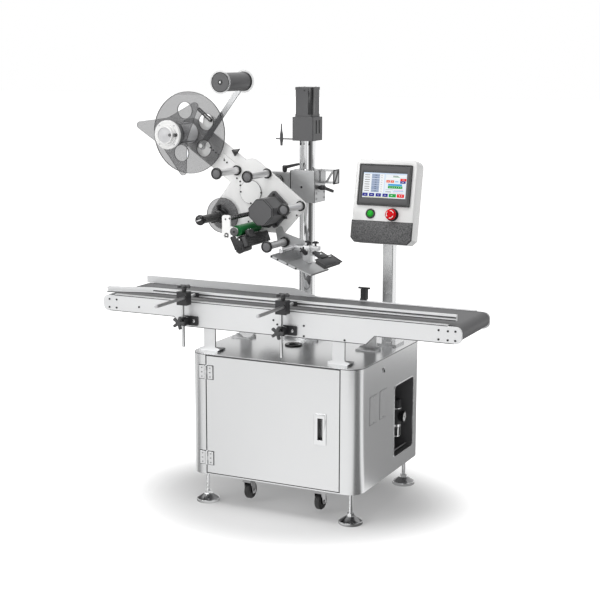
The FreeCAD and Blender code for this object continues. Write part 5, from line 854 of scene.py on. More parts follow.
tiles("legends", (0.85, 0.88, 0.92), [(x + 0.035, x + 0.085, 0.878, 0.892) for x in KEYS]
      + [(x, x + 0.014, 0.545, 0.565) for x in (0.62, 0.67, 0.72, 0.77, 0.82, 0.87)]
      + [(0.66, 0.70, 0.875, 0.895), (0.845, 0.875, 0.87, 0.895), (0.895, 0.925, 0.87, 0.895),
         (0.56, 0.59, 0.32, 0.335), (0.655, 0.685, 0.32, 0.335), (0.89, 0.95, 0.24, 0.255),
         (0.885, 0.94, 0.34, 0.355)], 3)
tell("display")

# %% [markdown]
# Both buttons are turned on the origin and laid on the panel: a green lens in a black collar, and a red
# mushroom whose white arcs show which way it turns to release.

# %% Push buttons
START_BUTTON = (53, -31)     # their middles on the panel's face
STOP_BUTTON = (138, -31)


def on_face(master, place):
    """Lays a master, turned upright on the origin, on the panel's face."""
    return copies(master, [(on_panel(*place), TO_PANEL)])


done(on_face(stood([(12.2, 0), (17, 0), (18, 1), (18, 3.2), (16.6, 4.6), (13.2, 4.6), (12.2, 3.6), (12.2, 0)]),
             START_BUTTON), "start_button_collar", black_gloss, "machine", soften=0.3)
lens = on_face(stood([(0, 7.9), (5, 7.7), (8.6, 7.0), (10.6, 6.0), (11.7, 4.4), (11.7, 0), (9.8, 0), (9.8, -14),
                      (0, -14)]), START_BUTTON)
done(lens, "start_button_lens", green_gloss, "start_button")
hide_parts("start_button")
done(on_face(stood([(6.6, 7.0), (7.6, 7.0), (7.6, 7.75), (6.6, 7.9), (6.6, 7.0)]), START_BUTTON),
     "start_button_ring", green_cover, "start_button")
done(on_face(stood([(10.4, 0), (22, 0), (23.4, 1.2), (23.4, 2.6), (22, 4), (15.5, 4), (15.5, 5.2), (10.6, 5.2),
                    (10.6, 0)]), STOP_BUTTON), "stop_button_collar", black_gloss, "machine",
     soften=0.3)
cap = on_face(stood([(0, 26.0), (8.4, 26.0), (9.2, 25.2), (10.0, 26.0), (15.4, 25.6), (18.6, 23.6), (20, 20.4),
                     (20, 15.6), (18.4, 12.6), (14, 12), (10, 12), (10, -14), (0, -14)], steps=64), STOP_BUTTON)
done(cap, "stop_button_cap", red_gloss, "emergency_stop")
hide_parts("emergency_stop")
arcs = []
for start in (20, 140, 260):
    outer = [(14.9 * cos(radians(start + a)), 14.9 * sin(radians(start + a))) for a in range(0, 61, 10)]
    inner = [(12.1 * cos(radians(start + a)), 12.1 * sin(radians(start + a))) for a in range(60, -1, -10)]
    tip = [(r * cos(radians(start + a)), r * sin(radians(start + a)))
           for r, a in ((16.2, 60), (13.5, 82), (10.8, 60))]
    arcs.append(plate(outer + tip + inner, 0.5,
                      lambda u, v, w: on_panel(STOP_BUTTON[0] + u, STOP_BUTTON[1] + v, 25.6 + w)))
done(joined(arcs), "stop_button_arrows", white_plastic, "emergency_stop")
tell("buttons")

# %% [markdown]
# The reel: the back disc gets darker edges, as light is piped to the rim of an acrylic sheet, and the
# outer flange is rebuilt as three smoky lobes behind a white lock ring with its clamping hub.

# %% Reel flange, lock ring and drum
REEL_X, REEL_Z = -456, 1314
DISC = (268.7, 273.3)        # front and back of the dark edge rings
edges = [hoop(148.9, 150.2, *DISC, REEL_X, REEL_Z, 0.2)]
for i in range(5):
    a = radians(30 + 72 * i)
    edges.append(hoop(30.3, 31.3, *DISC, REEL_X + 83 * cos(a), REEL_Z + 83 * sin(a), 0.1))
done(joined(edges), "unwind_disc_edges", smoke_edge, "reel")

lobe_corners = []
for i in range(3):
    a = radians(47.6 + 120 * i)
    lobe_corners.append((180 * cos(a), 180 * sin(a), 14))
    lobe_corners.append((62 * cos(a + pi / 3), 62 * sin(a + pi / 3), 60))
lobes = framed(rounded(lobe_corners, 10), circle(0, 0, 46, 48), -4, upright(REEL_X, 151, REEL_Z))
done(lobes, "outer_flange_lobes", smoked_acrylic, "reel_flange")
second_finish(lobes, smoke_edge, lambda f: abs(f.normal.y) < 0.5)
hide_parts("outer_flange")
done(turned([(38.4, 125), (46, 125), (46, 158), (44.5, 161), (38.4, 161), (38.4, 125)], REEL_X, REEL_Z),
     "outer_flange_sleeve", drum_grey, "reel_flange", soften=0.4)
done(turned([(0, 125), (50.6, 125), (52, 123.6), (52, 114.6), (50.6, 113), (38, 113), (38, 108.8), (37, 108),
             (31, 108), (31, 98.4), (29.6, 97), (27.4, 97), (27.4, 98.8), (0, 98.8)], REEL_X, REEL_Z, steps=72),
     "lock_ring", white_plastic, "reel_flange")
done(turned([(0, 98.2), (1.6, 98.2), (2.2, 98.6), (27.2, 98.6), (27.2, 103), (0, 103)], REEL_X, REEL_Z),
     "lock_ring_face", grey_disc, "reel_flange")
done(joined([hoop(2.6, 5.2, 96.9, 100, REEL_X + 21, REEL_Z + 1, 0.6),
             block((REEL_X + 33.5, 104, REEL_Z - 5), (REEL_X + 35.5, 113.2, REEL_Z + 7), 0.4),
             block((REEL_X + 37.5, 106, REEL_Z - 5), (REEL_X + 43, 112.6, REEL_Z + 7), 1.0)]), "lock_ring_clamp",
     black_screw, "reel_flange")
done(copies(cap_screw(2.6, 1.4), [(at(REEL_X + 45 * cos(radians(a)), 113, REEL_Z + 45 * sin(radians(a))), TO_FRONT)
                                  for a in (48, 132, 228, 312)]), "lock_ring_screws", screw_steel, "reel_flange")
slots = twins(block((-3, 140, 37.2), (3, 262, 38.25), 0.4),
              [(Vector((REEL_X, 0, REEL_Z)) / 1000, Matrix.Rotation(radians(a), 4, "Y")) for a in (20, 140, 260)])
slots.append(block((REEL_X - 6, 235, REEL_Z - 39.0), (REEL_X + 6, 247, REEL_Z - 37.2), 0.6))
done(joined(slots), "mandrel_slots", black_plastic, "reel")
tell("reel")

# %% [markdown]
# Guide rollers are alike but differ in length: each tube is turned to its own length, while the front
# cap, its inset face and the rear collar are turned once and copied to all four.

# %% Guide rollers
ROLLERS = ((-264, 1182, 126, 284.7), (-140, 1176, 125, 284.7), (-6, 1065, 144, 284.7), (-67, 932, 131, 277.7))
FRONTS = [(at(x, front, z), TO_FRONT) for x, z, front, back in ROLLERS]
BACKS = [(at(x, back, z), TO_FRONT) for x, z, front, back in ROLLERS]
for i, (x, z, front, back) in enumerate(ROLLERS, 1):
    tube = turned([(5.1, front + 6), (12.5, front + 6), (12.5, back - 13), (14.2, back - 8), (5.1, back - 8),
                   (5.1, front + 6)], x, z)
    done(tube, "guide_roller_%d_tube" % i, roller_steel, "guide_roller_%d" % i, soften=0.3)
    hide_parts("guide_roller_%d" % i)
cap_master = stood([(15.0, -2.6), (15.0, -1.0), (16.4, 0), (19.0, 0), (21, -2), (21, -7.6), (19.8, -9), (12.4, -9),
                    (12.4, -6), (15.0, -2.6)])
for i, piece in enumerate(twins(cap_master, FRONTS), 1):
    done(piece, "guide_roller_%d_cap" % i, black_gloss, "guide_roller_%d" % i)
face_master = stood([(0, -1.5), (14.2, -1.5), (15.0, -2.0), (15.0, -6), (0, -6)])
for i, piece in enumerate(twins(face_master, FRONTS), 1):
    done(piece, "guide_roller_%d_face" % i, grey_cap, "guide_roller_%d" % i)
collar_master = stood([(5.2, 0), (17.0, 0), (18.5, 1.4), (18.5, 6.6), (17.2, 8), (15.2, 8), (14.2, 9.2), (5.2, 9.2),
                       (5.2, 0)])
for i, piece in enumerate(twins(collar_master, BACKS), 1):
    done(piece, "guide_roller_%d_collar" % i, black_gloss, "guide_roller_%d" % i)
tell("guide rollers")

# %% [markdown]
# The dancer roller keeps the label web tight. It is a dark sleeve between two clear rims that are thin
# and wide, so the sleeve is turned on its own and the rims are rings of clear sheet.

# %% Dancer roller: dark sleeve between clear rims
DX, DZ = -230, 1503
sleeve = turned([(8.1, 104.5), (32.5, 104.5), (32.5, 275), (8.1, 275), (8.1, 104.5)], DX, DZ, steps=72)
done(sleeve, "dancer_sleeve", grey_sleeve, "dancer_drum")
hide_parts("dancer_roller")
done(joined([hoop(35, 40.5, 100.9, 104.4, DX, DZ), hoop(32.6, 40.5, 275, 278.5, DX, DZ)]), "dancer_clear_rims",
     clear_rim, "dancer_drum")
done(joined([hoop(33.2, 35, 100.3, 105.4, DX, DZ, 0.4), hoop(4.6, 8.6, 98.9, 101.8, DX, DZ, 1.2),
             hoop(32.3, 34.4, 270, 276, DX, DZ, 0.2)]), "dancer_black_rings", black_gloss, "dancer_drum")
done(turned([(0, 101.3), (32.4, 101.3), (33.2, 101.9), (33.2, 105), (0, 105)], DX, DZ), "dancer_face", dark_enamel,
     "dancer_drum")
done(turned([(0, 99.2), (2.6, 99.3), (4.4, 100.4), (4.4, 103), (0, 103)], DX, DZ), "dancer_bolt", chrome,
     "dancer_drum")
tell("dancer")

# %% [markdown]
# The spent backing winds up here. The spindle is turned with a rounded nose, a pull-out slot is laid on
# its end, and three fins stand round the hub in front of the small smoky disc.

# %% Rewind spindle, hub with fins, and its smoky disc
RX, RZ = -322, 1015
spindle = turned([(0, 103.2), (10.5, 103), (15, 104.6), (18.2, 108.4), (19, 113), (18.2, 117), (16.4, 122.5),
                  (15.3, 131), (15, 137), (15, 236), (16, 238), (22, 240), (22, 284.6), (9.9, 284.6), (9.9, 295.4),
                  (22, 295.4), (22, 310), (0, 311)], RX, RZ)
done(spindle, "rewind_spindle_body", black_gloss, "rewind")
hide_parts("rewind_spindle")
disc = turned([(22, 275), (64.4, 275), (65, 275.5), (65, 277.5), (64.4, 278), (22, 278), (22, 275)], RX, RZ,
              steps=72)
done(disc, "rewind_disc", smoked_acrylic, "rewind")
done(hoop(64.1, 65.2, 274.8, 278.2, RX, RZ, 0.1), "rewind_disc_edge", smoke_edge, "rewind")
fins = twins(block((-3.5, 246, 18), (3.5, 274, 41), 1.6, 3),
             [(Vector((RX, 0, RZ)) / 1000, Matrix.Rotation(radians(-a), 4, "Y")) for a in (10, 130, 250)])
fins.append(hoop(21, 27, 262, 275, RX, RZ, 2.0))
fins.append(hoop(12, 16.5, 228, 238, RX, RZ, 1.0))
done(joined(fins), "rewind_fins", black_plastic, "rewind")
done(plate(round_rectangle((-10, 9), (-1.8, 1.8), 1.6), 0.8,
           lambda u, v, w: at(RX + u * 0.94 - v * 0.34, 103.4 - w, RZ + u * 0.34 + v * 0.94)),
     "rewind_slot", chrome, "rewind")
tell("rewind")

# %% [markdown]
# A door shows by its gap, its hinges and its pull. The gap's shade is painted: it is a set of thin dark
# strips laid on the cabinet's front, black plates round the hinge leaves paint their shade lines, and the pull's
# recess gets a bright frame and a black liner.

# %% Hinges and door gap
SIDE = 350                   # the cabinet's right face
BACK = 590                   # and its back


def to_the_right(x0):
    """u runs along the depth, v up and w out of the cabinet's right side."""
    return lambda u, v, w: at(x0 + w, u, v)


HINGES = (177, 491)          # heights of their middles
for body, name, x, shade in (("machine", "fixed", -255.75, -255.6), ("door", "door", -222.75, -222.6)):
    done(copies(cap_screw(3.0, 0.9), [(at(x, -2.9, z + dz), TO_FRONT) for z in HINGES for dz in (-16, 0, 16)]),
         "hinge_screws_" + name, screw_steel, body)
    done(joined([block((shade - 12.9, -0.6, z - 26.2), (shade + 12.9, -0.05, z + 26.2), 0.15) for z in HINGES]),
         "hinge_shade_" + name, black_gloss, body)
# Painted shade of the door gap: black strips on the front face
DOOR_GAP_SHADE = [((-241.6, 549.6), (281.6, 552.8)), ((-241.6, 119.4), (281.6, 122.4)), ((278.0, 119.4), (281.8, 552.8)),
       ((-241.8, 119.4), (-237.8, 151.5)), ((-241.8, 202.5), (-237.8, 465.5)), ((-241.8, 516.5), (-237.8, 552.8))]
done(joined([block((a[0], -0.4, a[1]), (b[0], -0.05, b[1]), 0.1) for a, b in DOOR_GAP_SHADE]), "door_gap", black_gloss, "door")
# A thin black band round the cabinet's top edge is painted shade along its rim
done(framed(round_rectangle((-309.25, 350.25), (-0.25, 590.25), 55.2, 12),
            round_rectangle((-308.6, 349.6), (0.4, 589.6), 54.6, 12), 2.2,
            lambda u, v, w: at(u, v, 553.2 + w)), "cabinet_top_line", black_plastic, "machine")
# Painted shade: a thin black strip along the near side plate's lower edge, and black strips on the legs' right
# sides and by their feet
SIDE_PLATE_SHADE_OUTLINE = [(-668, 670.2), (-393.2, 670.2), (-362, 639.2), (356.5, 639.2), (387.5, 670.2), (668, 670.2), (668, 672.4),
       (386.6, 672.4), (355.6, 641.4), (-361.2, 641.4), (-392.3, 672.4), (-668, 672.4)]
done(joined([plate(SIDE_PLATE_SHADE_OUTLINE, 0.3, upright(0, 39.95, 0))]
            + [block((x, 48.2, 566), (x + 0.5, 53.8, 638.4), 0.1) for x in (-229, 275)]
            + [block((x, 31, 557.3), (x + 0.5, 76, 562.6), 0.1) for x in (-211, 293)]),
     "frame_hem", black_plastic, "machine")
done(framed(rectangle((184.2, 229.8), (281.2, 390.8)), rectangle((197.4, 216.6), (297.4, 374.6)), 0.8,
            upright(0, -1.4, 0), 0.4), "door_pull_frame", chrome, "door")
done(framed(rectangle((197.2, 216.8), (297.2, 374.8)), rectangle((199.6, 214.8), (299.4, 372.6)), -13,
            upright(0, -1.6, 0)), "door_pull_liner", black_plastic, "door")
tell("hinges and door")

# %% [markdown]
# Two blanking plates, a window with a rolled edge and a small bush break the plain right side. The
# plates show only as a dark seam and two screws each, so a thin frame stands in for the seam.

# %% Right side: blanking plates, window edge and cable bush
SIDE_PLATES = ((97, 98), (186, 100))     # near edge and height of each blanking plate
seams = [framed(rectangle((n - 1.3, n + 61.3), (341.7, 344.3 + h)),
                rectangle((n + 0.2, n + 59.8), (343.2, 342.8 + h)), 0.5, to_the_right(SIDE))
         for n, h in SIDE_PLATES]
done(joined(seams), "side_plate_seams", black_plastic, "machine")
done(copies(cap_screw(2.4, 0.8), [(at(SIDE + 1, n + 30, z), TO_RIGHT) for n, h in SIDE_PLATES
                                  for z in (348, 338 + h)]), "side_plate_screws", screw_steel, "machine")
done(framed(round_rectangle((319.6, 511.4), (163.6, 433.4), 19),
            round_rectangle((323.4, 507.6), (167.4, 429.6), 15.8), 1.6,
            to_the_right(SIDE - 0.2), 0.6), "window_edge", chrome, "machine")
done(spun([(6.6, 346), (6.6, 352), (7.4, 352.8), (11.6, 352.8), (12.8, 351.6), (12.8, 350.05), (9.2, 350.05),
           (9.2, 346), (6.6, 346)], at(0, 217, 511), "x"), "side_bush", chrome, "machine")
done(spun([(0, 348.4), (6.7, 348.4), (6.7, 346.4), (0, 346.4)], at(0, 217, 511), "x"), "side_bush_plug",
     black_gloss, "machine")
tell("right side")

# %% [markdown]
# The regulator stands behind the window. Its gauge gets a case, a white dial and plain marks, its knob
# gets ribs to grip, and its bowl gets a guard of six bars between two rings.

# %% Air regulator: gauge, ribbed knob and bowl guard
GY, GZ = 441, 290            # the gauge's and the knob's axes meet at this depth and height
KNOB_X = 305


def on_gauge(u, v, w):
    return at(341.2 + w, GY + u, GZ + v)


done(spun([(17.2, 341), (17.8, 345), (20.0, 345), (21.0, 344), (21.0, 336), (17.2, 336), (17.2, 341)],
          at(0, GY, GZ), "x"), "gauge_case", black_gloss, "machine")
done(spun([(0, 342.2), (17.6, 342.2), (17.6, 341.2), (0, 341.2)], at(0, GY, GZ), "x"), "gauge_dial", white_plastic,
     "machine")
marks = []
for i in range(13):
    a = radians(225 - 22.5 * i)
    long = 3.6 if i % 3 == 0 else 2.2
    marks.append(plate([(r * cos(a) + s * sin(a), r * sin(a) - s * cos(a)) for r, s in
                        ((15.2 - long, -0.35), (15.2, -0.35), (15.2, 0.35), (15.2 - long, 0.35))], 0.3,
                       lambda u, v, w: on_gauge(u, v, 0.9 + w)))
marks.append(plate([(-3, -2.4), (-2.4, -3), (9, 7.6), (8.8, 7.9)], 0.4, lambda u, v, w: on_gauge(u, v, 1.3 + w)))
marks.append(spun([(0, 343.4), (2.2, 343.4), (2.2, 342.1), (0, 342.1)], at(0, GY, GZ), "x"))
done(joined(marks), "gauge_marks", black_gloss, "machine")
ribs = twins(block((-1.1, -FRONT + 20.6, 329), (1.1, -FRONT + 23.4, 351), 0.4),
             [(at(KNOB_X, GY, 0), Matrix.Rotation(radians(20 * i), 4, "Z")) for i in range(18)])
done(joined(ribs), "regulator_knob_ribs", black_plastic, "machine")
done(spun([(20.2, 319.5), (24.6, 319.5), (24.6, 323), (20.2, 323), (20.2, 319.5)], at(KNOB_X, GY, 0), "z"),
     "regulator_collar", brushed_steel, "machine")
guard = [spun([(22.2, 252), (23.2, 252), (23.2, 261), (22.2, 261), (22.2, 252)], at(KNOB_X, GY, 0), "z"),
         spun([(18.6, 214), (20.4, 214), (20.4, 219), (18.6, 219), (18.6, 214)], at(KNOB_X, GY, 0), "z")]
guard += twins(block((-2.6, -FRONT + 19.4, 216), (2.6, -FRONT + 20.8, 256), 0.4),
               [(at(KNOB_X, GY, 0), Matrix.Rotation(radians(60 * i), 4, "Z")) for i in range(6)])
done(joined(guard), "regulator_bowl_guard", chrome, "machine")
done(block((331.4, 350, 176), (333.6, 486, 181.6), 1.0), "recess_lip", drum_grey, "machine")
tell("air regulator")

# %% [markdown]
# The levelling feet carry all the weight on four cones. One foot is turned in one go with its threaded
# stud, its nut is a lathe piece of six steps, and the cone gets a darker chrome that paints in its dark reflection.

# %% Feet: threaded stud, lock nut and turned pad
PITCH = 2.5


def thread_up(r, low, high):
    """The section of a thread of rings, from low to high."""
    points = []
    while low < high - PITCH:
        points += [(r, low), (r, low + PITCH * 0.4), (r - 0.7, low + PITCH * 0.6), (r - 0.7, low + PITCH * 0.9)]
        low += PITCH
    return points + [(r, low), (r, high)]


CONE_PAINTED_DARK = (0.0113, 0.0272)      # metres up; the cone reflects the dark floor, and its darker chrome paints in more dark reflection
FEET = {"foot_front_left": (-262, 47), "foot_rear_left": (-262, 543), "foot_front_right": (303, 47),
        "foot_rear_right": (303, 543)}
pad = stood([(0, 0), (40.5, 0), (42, 1.4), (42, 9.6), (41, 11), (39.5, 11.4), (17.5, 26), (16, 27.5), (7, 27.5),
             (7, 38)] + thread_up(6.95, 38, 150) + [(6, 155), (0, 155)], steps=32)
pad = joined([pad, stood([(0, 27), (12, 27), (12.9, 28), (12.9, 37), (12, 38), (0, 38)], steps=6)])
for name, piece in zip(FEET, twins(pad, [(at(x, y, 0), TO_TOP) for x, y in FEET.values()])):
    done(piece, name + "_turned", chrome, name, smooth=25)
    # The cone's darker chrome is a painted dark reflection
    second_finish(piece, dark_chrome, lambda f: CONE_PAINTED_DARK[0] < f.center.z < CONE_PAINTED_DARK[1])
    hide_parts(name)
tell("feet")

# %% [markdown]
# The back is closed by a cover with louvres, as such cabinets are, to let the warm air out. One louvre
# is modelled as a rounded plate and then copied in two columns.

# %% Back cover with louvres, and the cable ring on top
done(framed(round_rectangle((-190, 230), (150, 520), 14), round_rectangle((-186, 226), (154, 516), 12), 1.6,
            lambda u, v, w: at(u, BACK - 0.1 + w, v), 0.5), "back_cover_edge", brushed_steel, "machine")
louvre = plate(rounded([(-55, 0, 1), (55, 0, 1), (51, 8, 5), (-51, 8, 5)]), 4.2,
               lambda u, v, w: Vector((u, w, v)) / 1000, rim=1.4)
edit(louvre, "VERT", lambda v, m: v.co.z < 0.002)
bpy.ops.transform.translate(value=(0, 0, 0.0005))
object_mode()
done(copies(louvre, [(at(x, BACK, z), TO_TOP) for x in (-90, 130) for z in range(400, 505, 16)]), "back_louvres",
     cabinet_steel, "machine")
done(copies(cap_screw(4.0, 2.0), [(at(x, BACK, z), TO_BACK) for x in (-178, 20, 218) for z in (162, 335, 508)]),
     "back_cover_screws", screw_steel, "machine")
done(spun([(21.6, 557.1), (31.4, 557.1), (32.2, 558), (31.6, 561.6), (29.6, 562.6), (25.8, 562.6), (21.8, 561.2),
           (21.6, 557.1)], at(-25, 266, 0), "z"), "cable_ring", black_gloss, "machine")
tell("back and top")

# %% [markdown]
# Knobs share one star: five lobes on a turned stem with a dished top. Its outline is one wave round a
# circle, flattened at its crests and troughs, so that the lobes are broad and their sides steep.

# %% Star knobs
star = []
for i in range(90):
    a = 2 * pi * i / 90
    r = 17.6 + 6.8 * math.tanh(2.2 * cos(5 * a)) / math.tanh(2.2)
    star.append((r * cos(a), r * sin(a)))
lobed = plate(star, 9.5, lambda u, v, w: Vector((u, v, 12.5 + w)) / 1000, rim=1.7)
stem = stood([(0, 0.2), (7.6, 0.2), (7.6, 5), (8.6, 6), (8.6, 11), (12.5, 13.2), (12.5, 15), (0, 15)])
dish = stood([(0, 21.6), (5.4, 21.8), (6.2, 22.6), (8.6, 22.8), (9.4, 22.0), (9.4, 20), (0, 20)])
KNOBS = {"post_knob_left": (at(-331, 10, 772), TO_TOP), "post_knob_right": (at(60, 10, 772), TO_TOP),
         "bracket_knob_left": (at(-337, -4, 663), TO_FRONT), "bracket_knob_right": (at(54, -4, 663), TO_FRONT)}
for name, piece in zip(KNOBS, twins(joined([lobed, stem, dish]), KNOBS.values())):
    done(piece, name + "_star", dark_knob, name)
    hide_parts(name)
tell("star knobs")

# %% [markdown]
# Two posts carry the front guide: upright bars in the brackets, clamp blocks on them, and cross rods
# through the blocks. The blocks' bores are real holes, bridged from a square outline with as many points
# as the circle.

# %% A box outline round a hole
def box_round_hole(x0, x1, z0, z1, hx, hz):
    """The box's outline, with one point for each point of the hole's circle."""
    points = []
    for i in range(48):
        c, s = cos(2 * pi * i / 48), sin(2 * pi * i / 48)
        reach = min(((x1 if c > 0 else x0) - hx) / c if abs(c) > 1e-6 else 1e9,
                    ((z1 if s > 0 else z0) - hz) / s if abs(s) > 1e-6 else 1e9)
        points.append((hx + c * reach, hz + s * reach))
    for corner in ((x0, z0), (x1, z0), (x1, z1), (x0, z1)):
        near = min(range(48), key=lambda i: (points[i][0] - corner[0]) ** 2 + (points[i][1] - corner[1]) ** 2)
        points[near] = corner
    return points


# %% [markdown]
# The bars, the blocks and their rings are alike left and right, so each is made by one loop over the two
# sides and joined to one piece for each colour.

# %% Guide posts and their blocks
POSTS = (-337, 54)           # left and right upright bar
POST_Y = 10
BRACKET_Z = 663
RODS = (-322, 69)            # left and right cross rod
ROD_Z = 752
bars = [spun([(0, 571), (4.8, 571), (6, 572.4), (6, 723.8), (0, 723.8)], at(x, POST_Y, 0), "z") for x in POSTS]
posts = done(joined(bars), "guide_post_bars", chrome, "posts")
blocks = []
for x in (-353, 38):
    blocks.append(framed(box_round_hole(x, x + 40, 724, 772, x + 31, ROD_Z), circle(x + 31, ROD_Z, 6.3, 48), -34,
                         upright(0, -7, 0)))
    blocks.append(hoop(6.2, 9.4, -8.6, -6.6, x + 31, ROD_Z, 0.7))
    blocks.append(hoop(6.2, 9.4, 26.6, 28.6, x + 31, ROD_Z, 0.7))
    blocks.append(block((x + 1.2, -8.0, 744.4), (x + 8, -6.6, 747.4), 0.4))
done(joined(blocks), "guide_post_blocks", black_plastic, "posts")
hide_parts("guide_posts")
tell("guide posts")

# %% [markdown]
# The cross rods carry the rail, which slides in and out with them. Their tips and clamps are thin pieces
# laid on the CAD rods, and dark strips paint the shade in the rail's groove and along its lower edge.

# %% Cross rods, painted shade on the rail, and bracket bolts
for side, x in zip(("left", "right"), RODS):
    done(turned([(0, -197.5), (4.2, -197.5), (5.9, -196), (5.9, -190), (5.4, -189), (0, -189)], x, ROD_Z),
         "cross_rod_tip_" + side, grey_disc, "front_guide")
    done(joined([hoop(5.4, 7.8, 64.4, 69.7, x, ROD_Z, 0.8), block((x - 17, 65, 744), (x + 17, 69.7, 760), 2.0)]),
         "cross_rod_ends_" + side, black_plastic, "front_guide")
    done(hoop(5.45, 5.95, -189, -9.2, x, ROD_Z, 0.1), "cross_rod_" + side, grey_rod, "front_guide")
# Painted shade: dark strips in the rail's groove and along its lower edge
done(joined([block((-500, 74.2, 749), (662, 74.8, 754), 0.2), block((-505, 69.3, 741.0), (662, 69.95, 744.8), 0.2),
             plate([(-505, 69.3), (-505, 71), (-664.6, 24.2), (-665, 22.6)], 3.8,
                   lambda u, v, w: at(u, v, 741 + w))]), "rail_groove", dark_enamel, "front_guide")
for side, x in zip(("left", "right"), POSTS):
    bolts = copies(cap_screw(5.4, 4.2), [(at(x + 30, 35, BRACKET_Z), TO_FRONT)])
    done(bolts, "bracket_bolt_" + side, chrome, "machine")
    done(joined([hoop(6.1, 12.6, -4.6, -3.6, x, BRACKET_Z, 0.4),
                 block((x - 12.4, 11, 650.2), (x + 12.4, 12.2, 675.8), 0.3),
                 spun([(6.2, 676), (10.5, 676), (11.4, 677), (11.4, 679), (10.5, 680), (6.2, 680), (6.2, 676)],
                      at(x, POST_Y, 0), "z")]), "bracket_seams_" + side, black_gloss, "machine")
tell("cross rods")

# %% [markdown]
# The side plates show rows of black screws, and a folded cover hides each edge of the belt. The cover's
# section is drawn once and extruded along the belt, and mirrored in its points for the far side.

# %% Conveyor sides: screws and edge covers
PLATE_SCREWS = ((-667, 713), (-636, 713), (-668, 683), (-637, 683), (-540, 693), (614, 713), (646, 712), (672, 713),
                (614, 682), (646, 682), (672, 682), (8, 693), (23, 679), (125, 683), (125, 647), (278, 647))
NEAR_SIDE, FAR_SIDE = 40, 337        # outer faces of the two side plates
done(copies(cap_screw(3.6, 1.8), [(at(x, NEAR_SIDE, z), TO_FRONT) for x, z in PLATE_SCREWS]
            + [(at(x, FAR_SIDE, z), TO_BACK) for x, z in PLATE_SCREWS]), "side_plate_bolts", black_screw, "machine")
COVER = [(40.4, 728.1), (51.4, 728.1), (51.4, 730.2), (59, 730.6), (59, 732.2), (40.4, 732.2)]


def along_belt(x0):
    return lambda u, v, w: at(x0 + w, u, v)


BELT_END = 645               # the covers run from -645 to 645
done(joined([plate(side, 2 * BELT_END, along_belt(-BELT_END), rim=0.5)
             for side in (COVER, [(NEAR_SIDE + FAR_SIDE - u, v) for u, v in COVER])]),
     "belt_edge_covers", side_aluminium, "machine")
# Thin black strips along the covers' edges are painted shade under their lips
done(joined([block((-BELT_END, 39.3, 728.0), (BELT_END, 39.95, 730.4), 0.2),
             block((-BELT_END, 337.05, 728.0), (BELT_END, 337.7, 730.4), 0.2),
             block((-BELT_END, 59.05, 730.6), (BELT_END, 60.4, 732.0), 0.3)]), "belt_edge_seams", black_plastic,
     "machine")
tell("conveyor sides")

# %% [markdown]
# The label head's white plate carries everything that guides the labels. It shows rows of black screws,
# which are laid on its front from lists of places, and the edge of a round cover.

# %% Head plate: screws, bolts and dots
COVER_DISC = (-208, 1106)
DISC_SCREWS = ((-247, 1105), (-164, 1105), (-206, 1065))
PLATE_DOTS = ((-375, 1261), (-363, 1252), (-352, 1244), (-341, 1236), (-317, 1217), (-306, 1209), (-265, 1153),
              (-252, 1142), (-251, 1128), (-218, 997), (-22, 1030), (-63, 1018))
MOTOR_BOLTS = ((-109, 1102), (-65, 1020), (-98, 993))
done(copies(cap_screw(3.3, 1.6), [(at(x, 281, z), TO_FRONT) for x, z in DISC_SCREWS]
            + [(at(x, 285, z), TO_FRONT) for x, z in PLATE_DOTS]), "head_screws", black_screw, "head")
done(copies(cap_screw(4.6, 4.2), [(at(x, 273, z), TO_FRONT) for x, z in MOTOR_BOLTS]), "motor_bolts", black_screw,
     "head")
done(turned([(0, 274.6), (9, 274.6), (11, 276), (11, 281), (0, 281)], -409, 1266), "arm_plug", black_plastic,
     "head")
done(hoop(42.7, 43.7, 280.9, 284.9, *COVER_DISC, 0.3), "cover_disc_edge", drum_grey, "head")
tell("head plate")

# %% [markdown]
# The feed motor is an octagon of stacked plates. Thin dark frames stand in for the gaps between the
# plates, and its plug is turned in five ribs.

# %% Feed motor: seams, plug and clip
MOTOR_X, MOTOR_Z = -108, 1048


def octagon(half, cut):
    """The feed motor's outline: a square turned by 47 degrees, with its corners cut off."""
    turn = radians(47)
    points = [(-half, -half + cut), (-half + cut, -half), (half - cut, -half), (half, -half + cut),
              (half, half - cut), (half - cut, half), (-half + cut, half), (-half, half - cut)]
    return [(u * cos(turn) - v * sin(turn), u * sin(turn) + v * cos(turn)) for u, v in points]


seams = [framed(octagon(43.5, 20.2), octagon(42.4, 19.8), 1.2, upright(MOTOR_X, y, MOTOR_Z)) for y in (178.2, 262)]
seams.append(framed(octagon(42.6, 19.8), octagon(40.8, 19), 0.5, upright(MOTOR_X, 165, MOTOR_Z)))
done(joined(seams), "motor_seams", black_gloss, "head")
plug = [(0, -70), (8.5, -70), (8.5, -64)]
for i in range(5):
    plug += [(9.8, -63 + 5 * i), (9.8, -60.6 + 5 * i), (8.2, -60.2 + 5 * i), (8.2, -58.4 + 5 * i)]
done(spun(plug + [(7, -37), (5, -36), (0, -36)], at(0, 216, 1046), "x"), "motor_plug", black_plastic, "head")
done(joined([plate(rounded([(-151, 982, 3), (-122, 982, 5), (-100, 1000, 5), (-97, 1013, 4), (-108, 1016, 4),
                            (-116, 1004, 4), (-128, 994, 4), (-151, 991, 3)]), 12, upright(0, 272, 0), rim=1.4),
             spun([(0, 989), (3.2, 989), (3.2, 996), (0, 996)], at(-134, 262, 0), "z")]), "motor_clip",
     black_plastic, "head")
tell("feed motor")

# %% [markdown]
# A small wedge closes the corner under the arm. The arm's slot is a frame with a white plate behind it,
# drawn along the arm in tilted axes.

# %% Wedge and slot on the arm
done(plate(rounded([(-283, 1256, 1), (-249, 1262, 1), (-269, 1232, 2)]), 9, upright(0, 284.9, 0), rim=0.8),
     "plate_wedge", black_gloss, "head")
TILT = 0.668                 # radians; the slot follows the reel arm


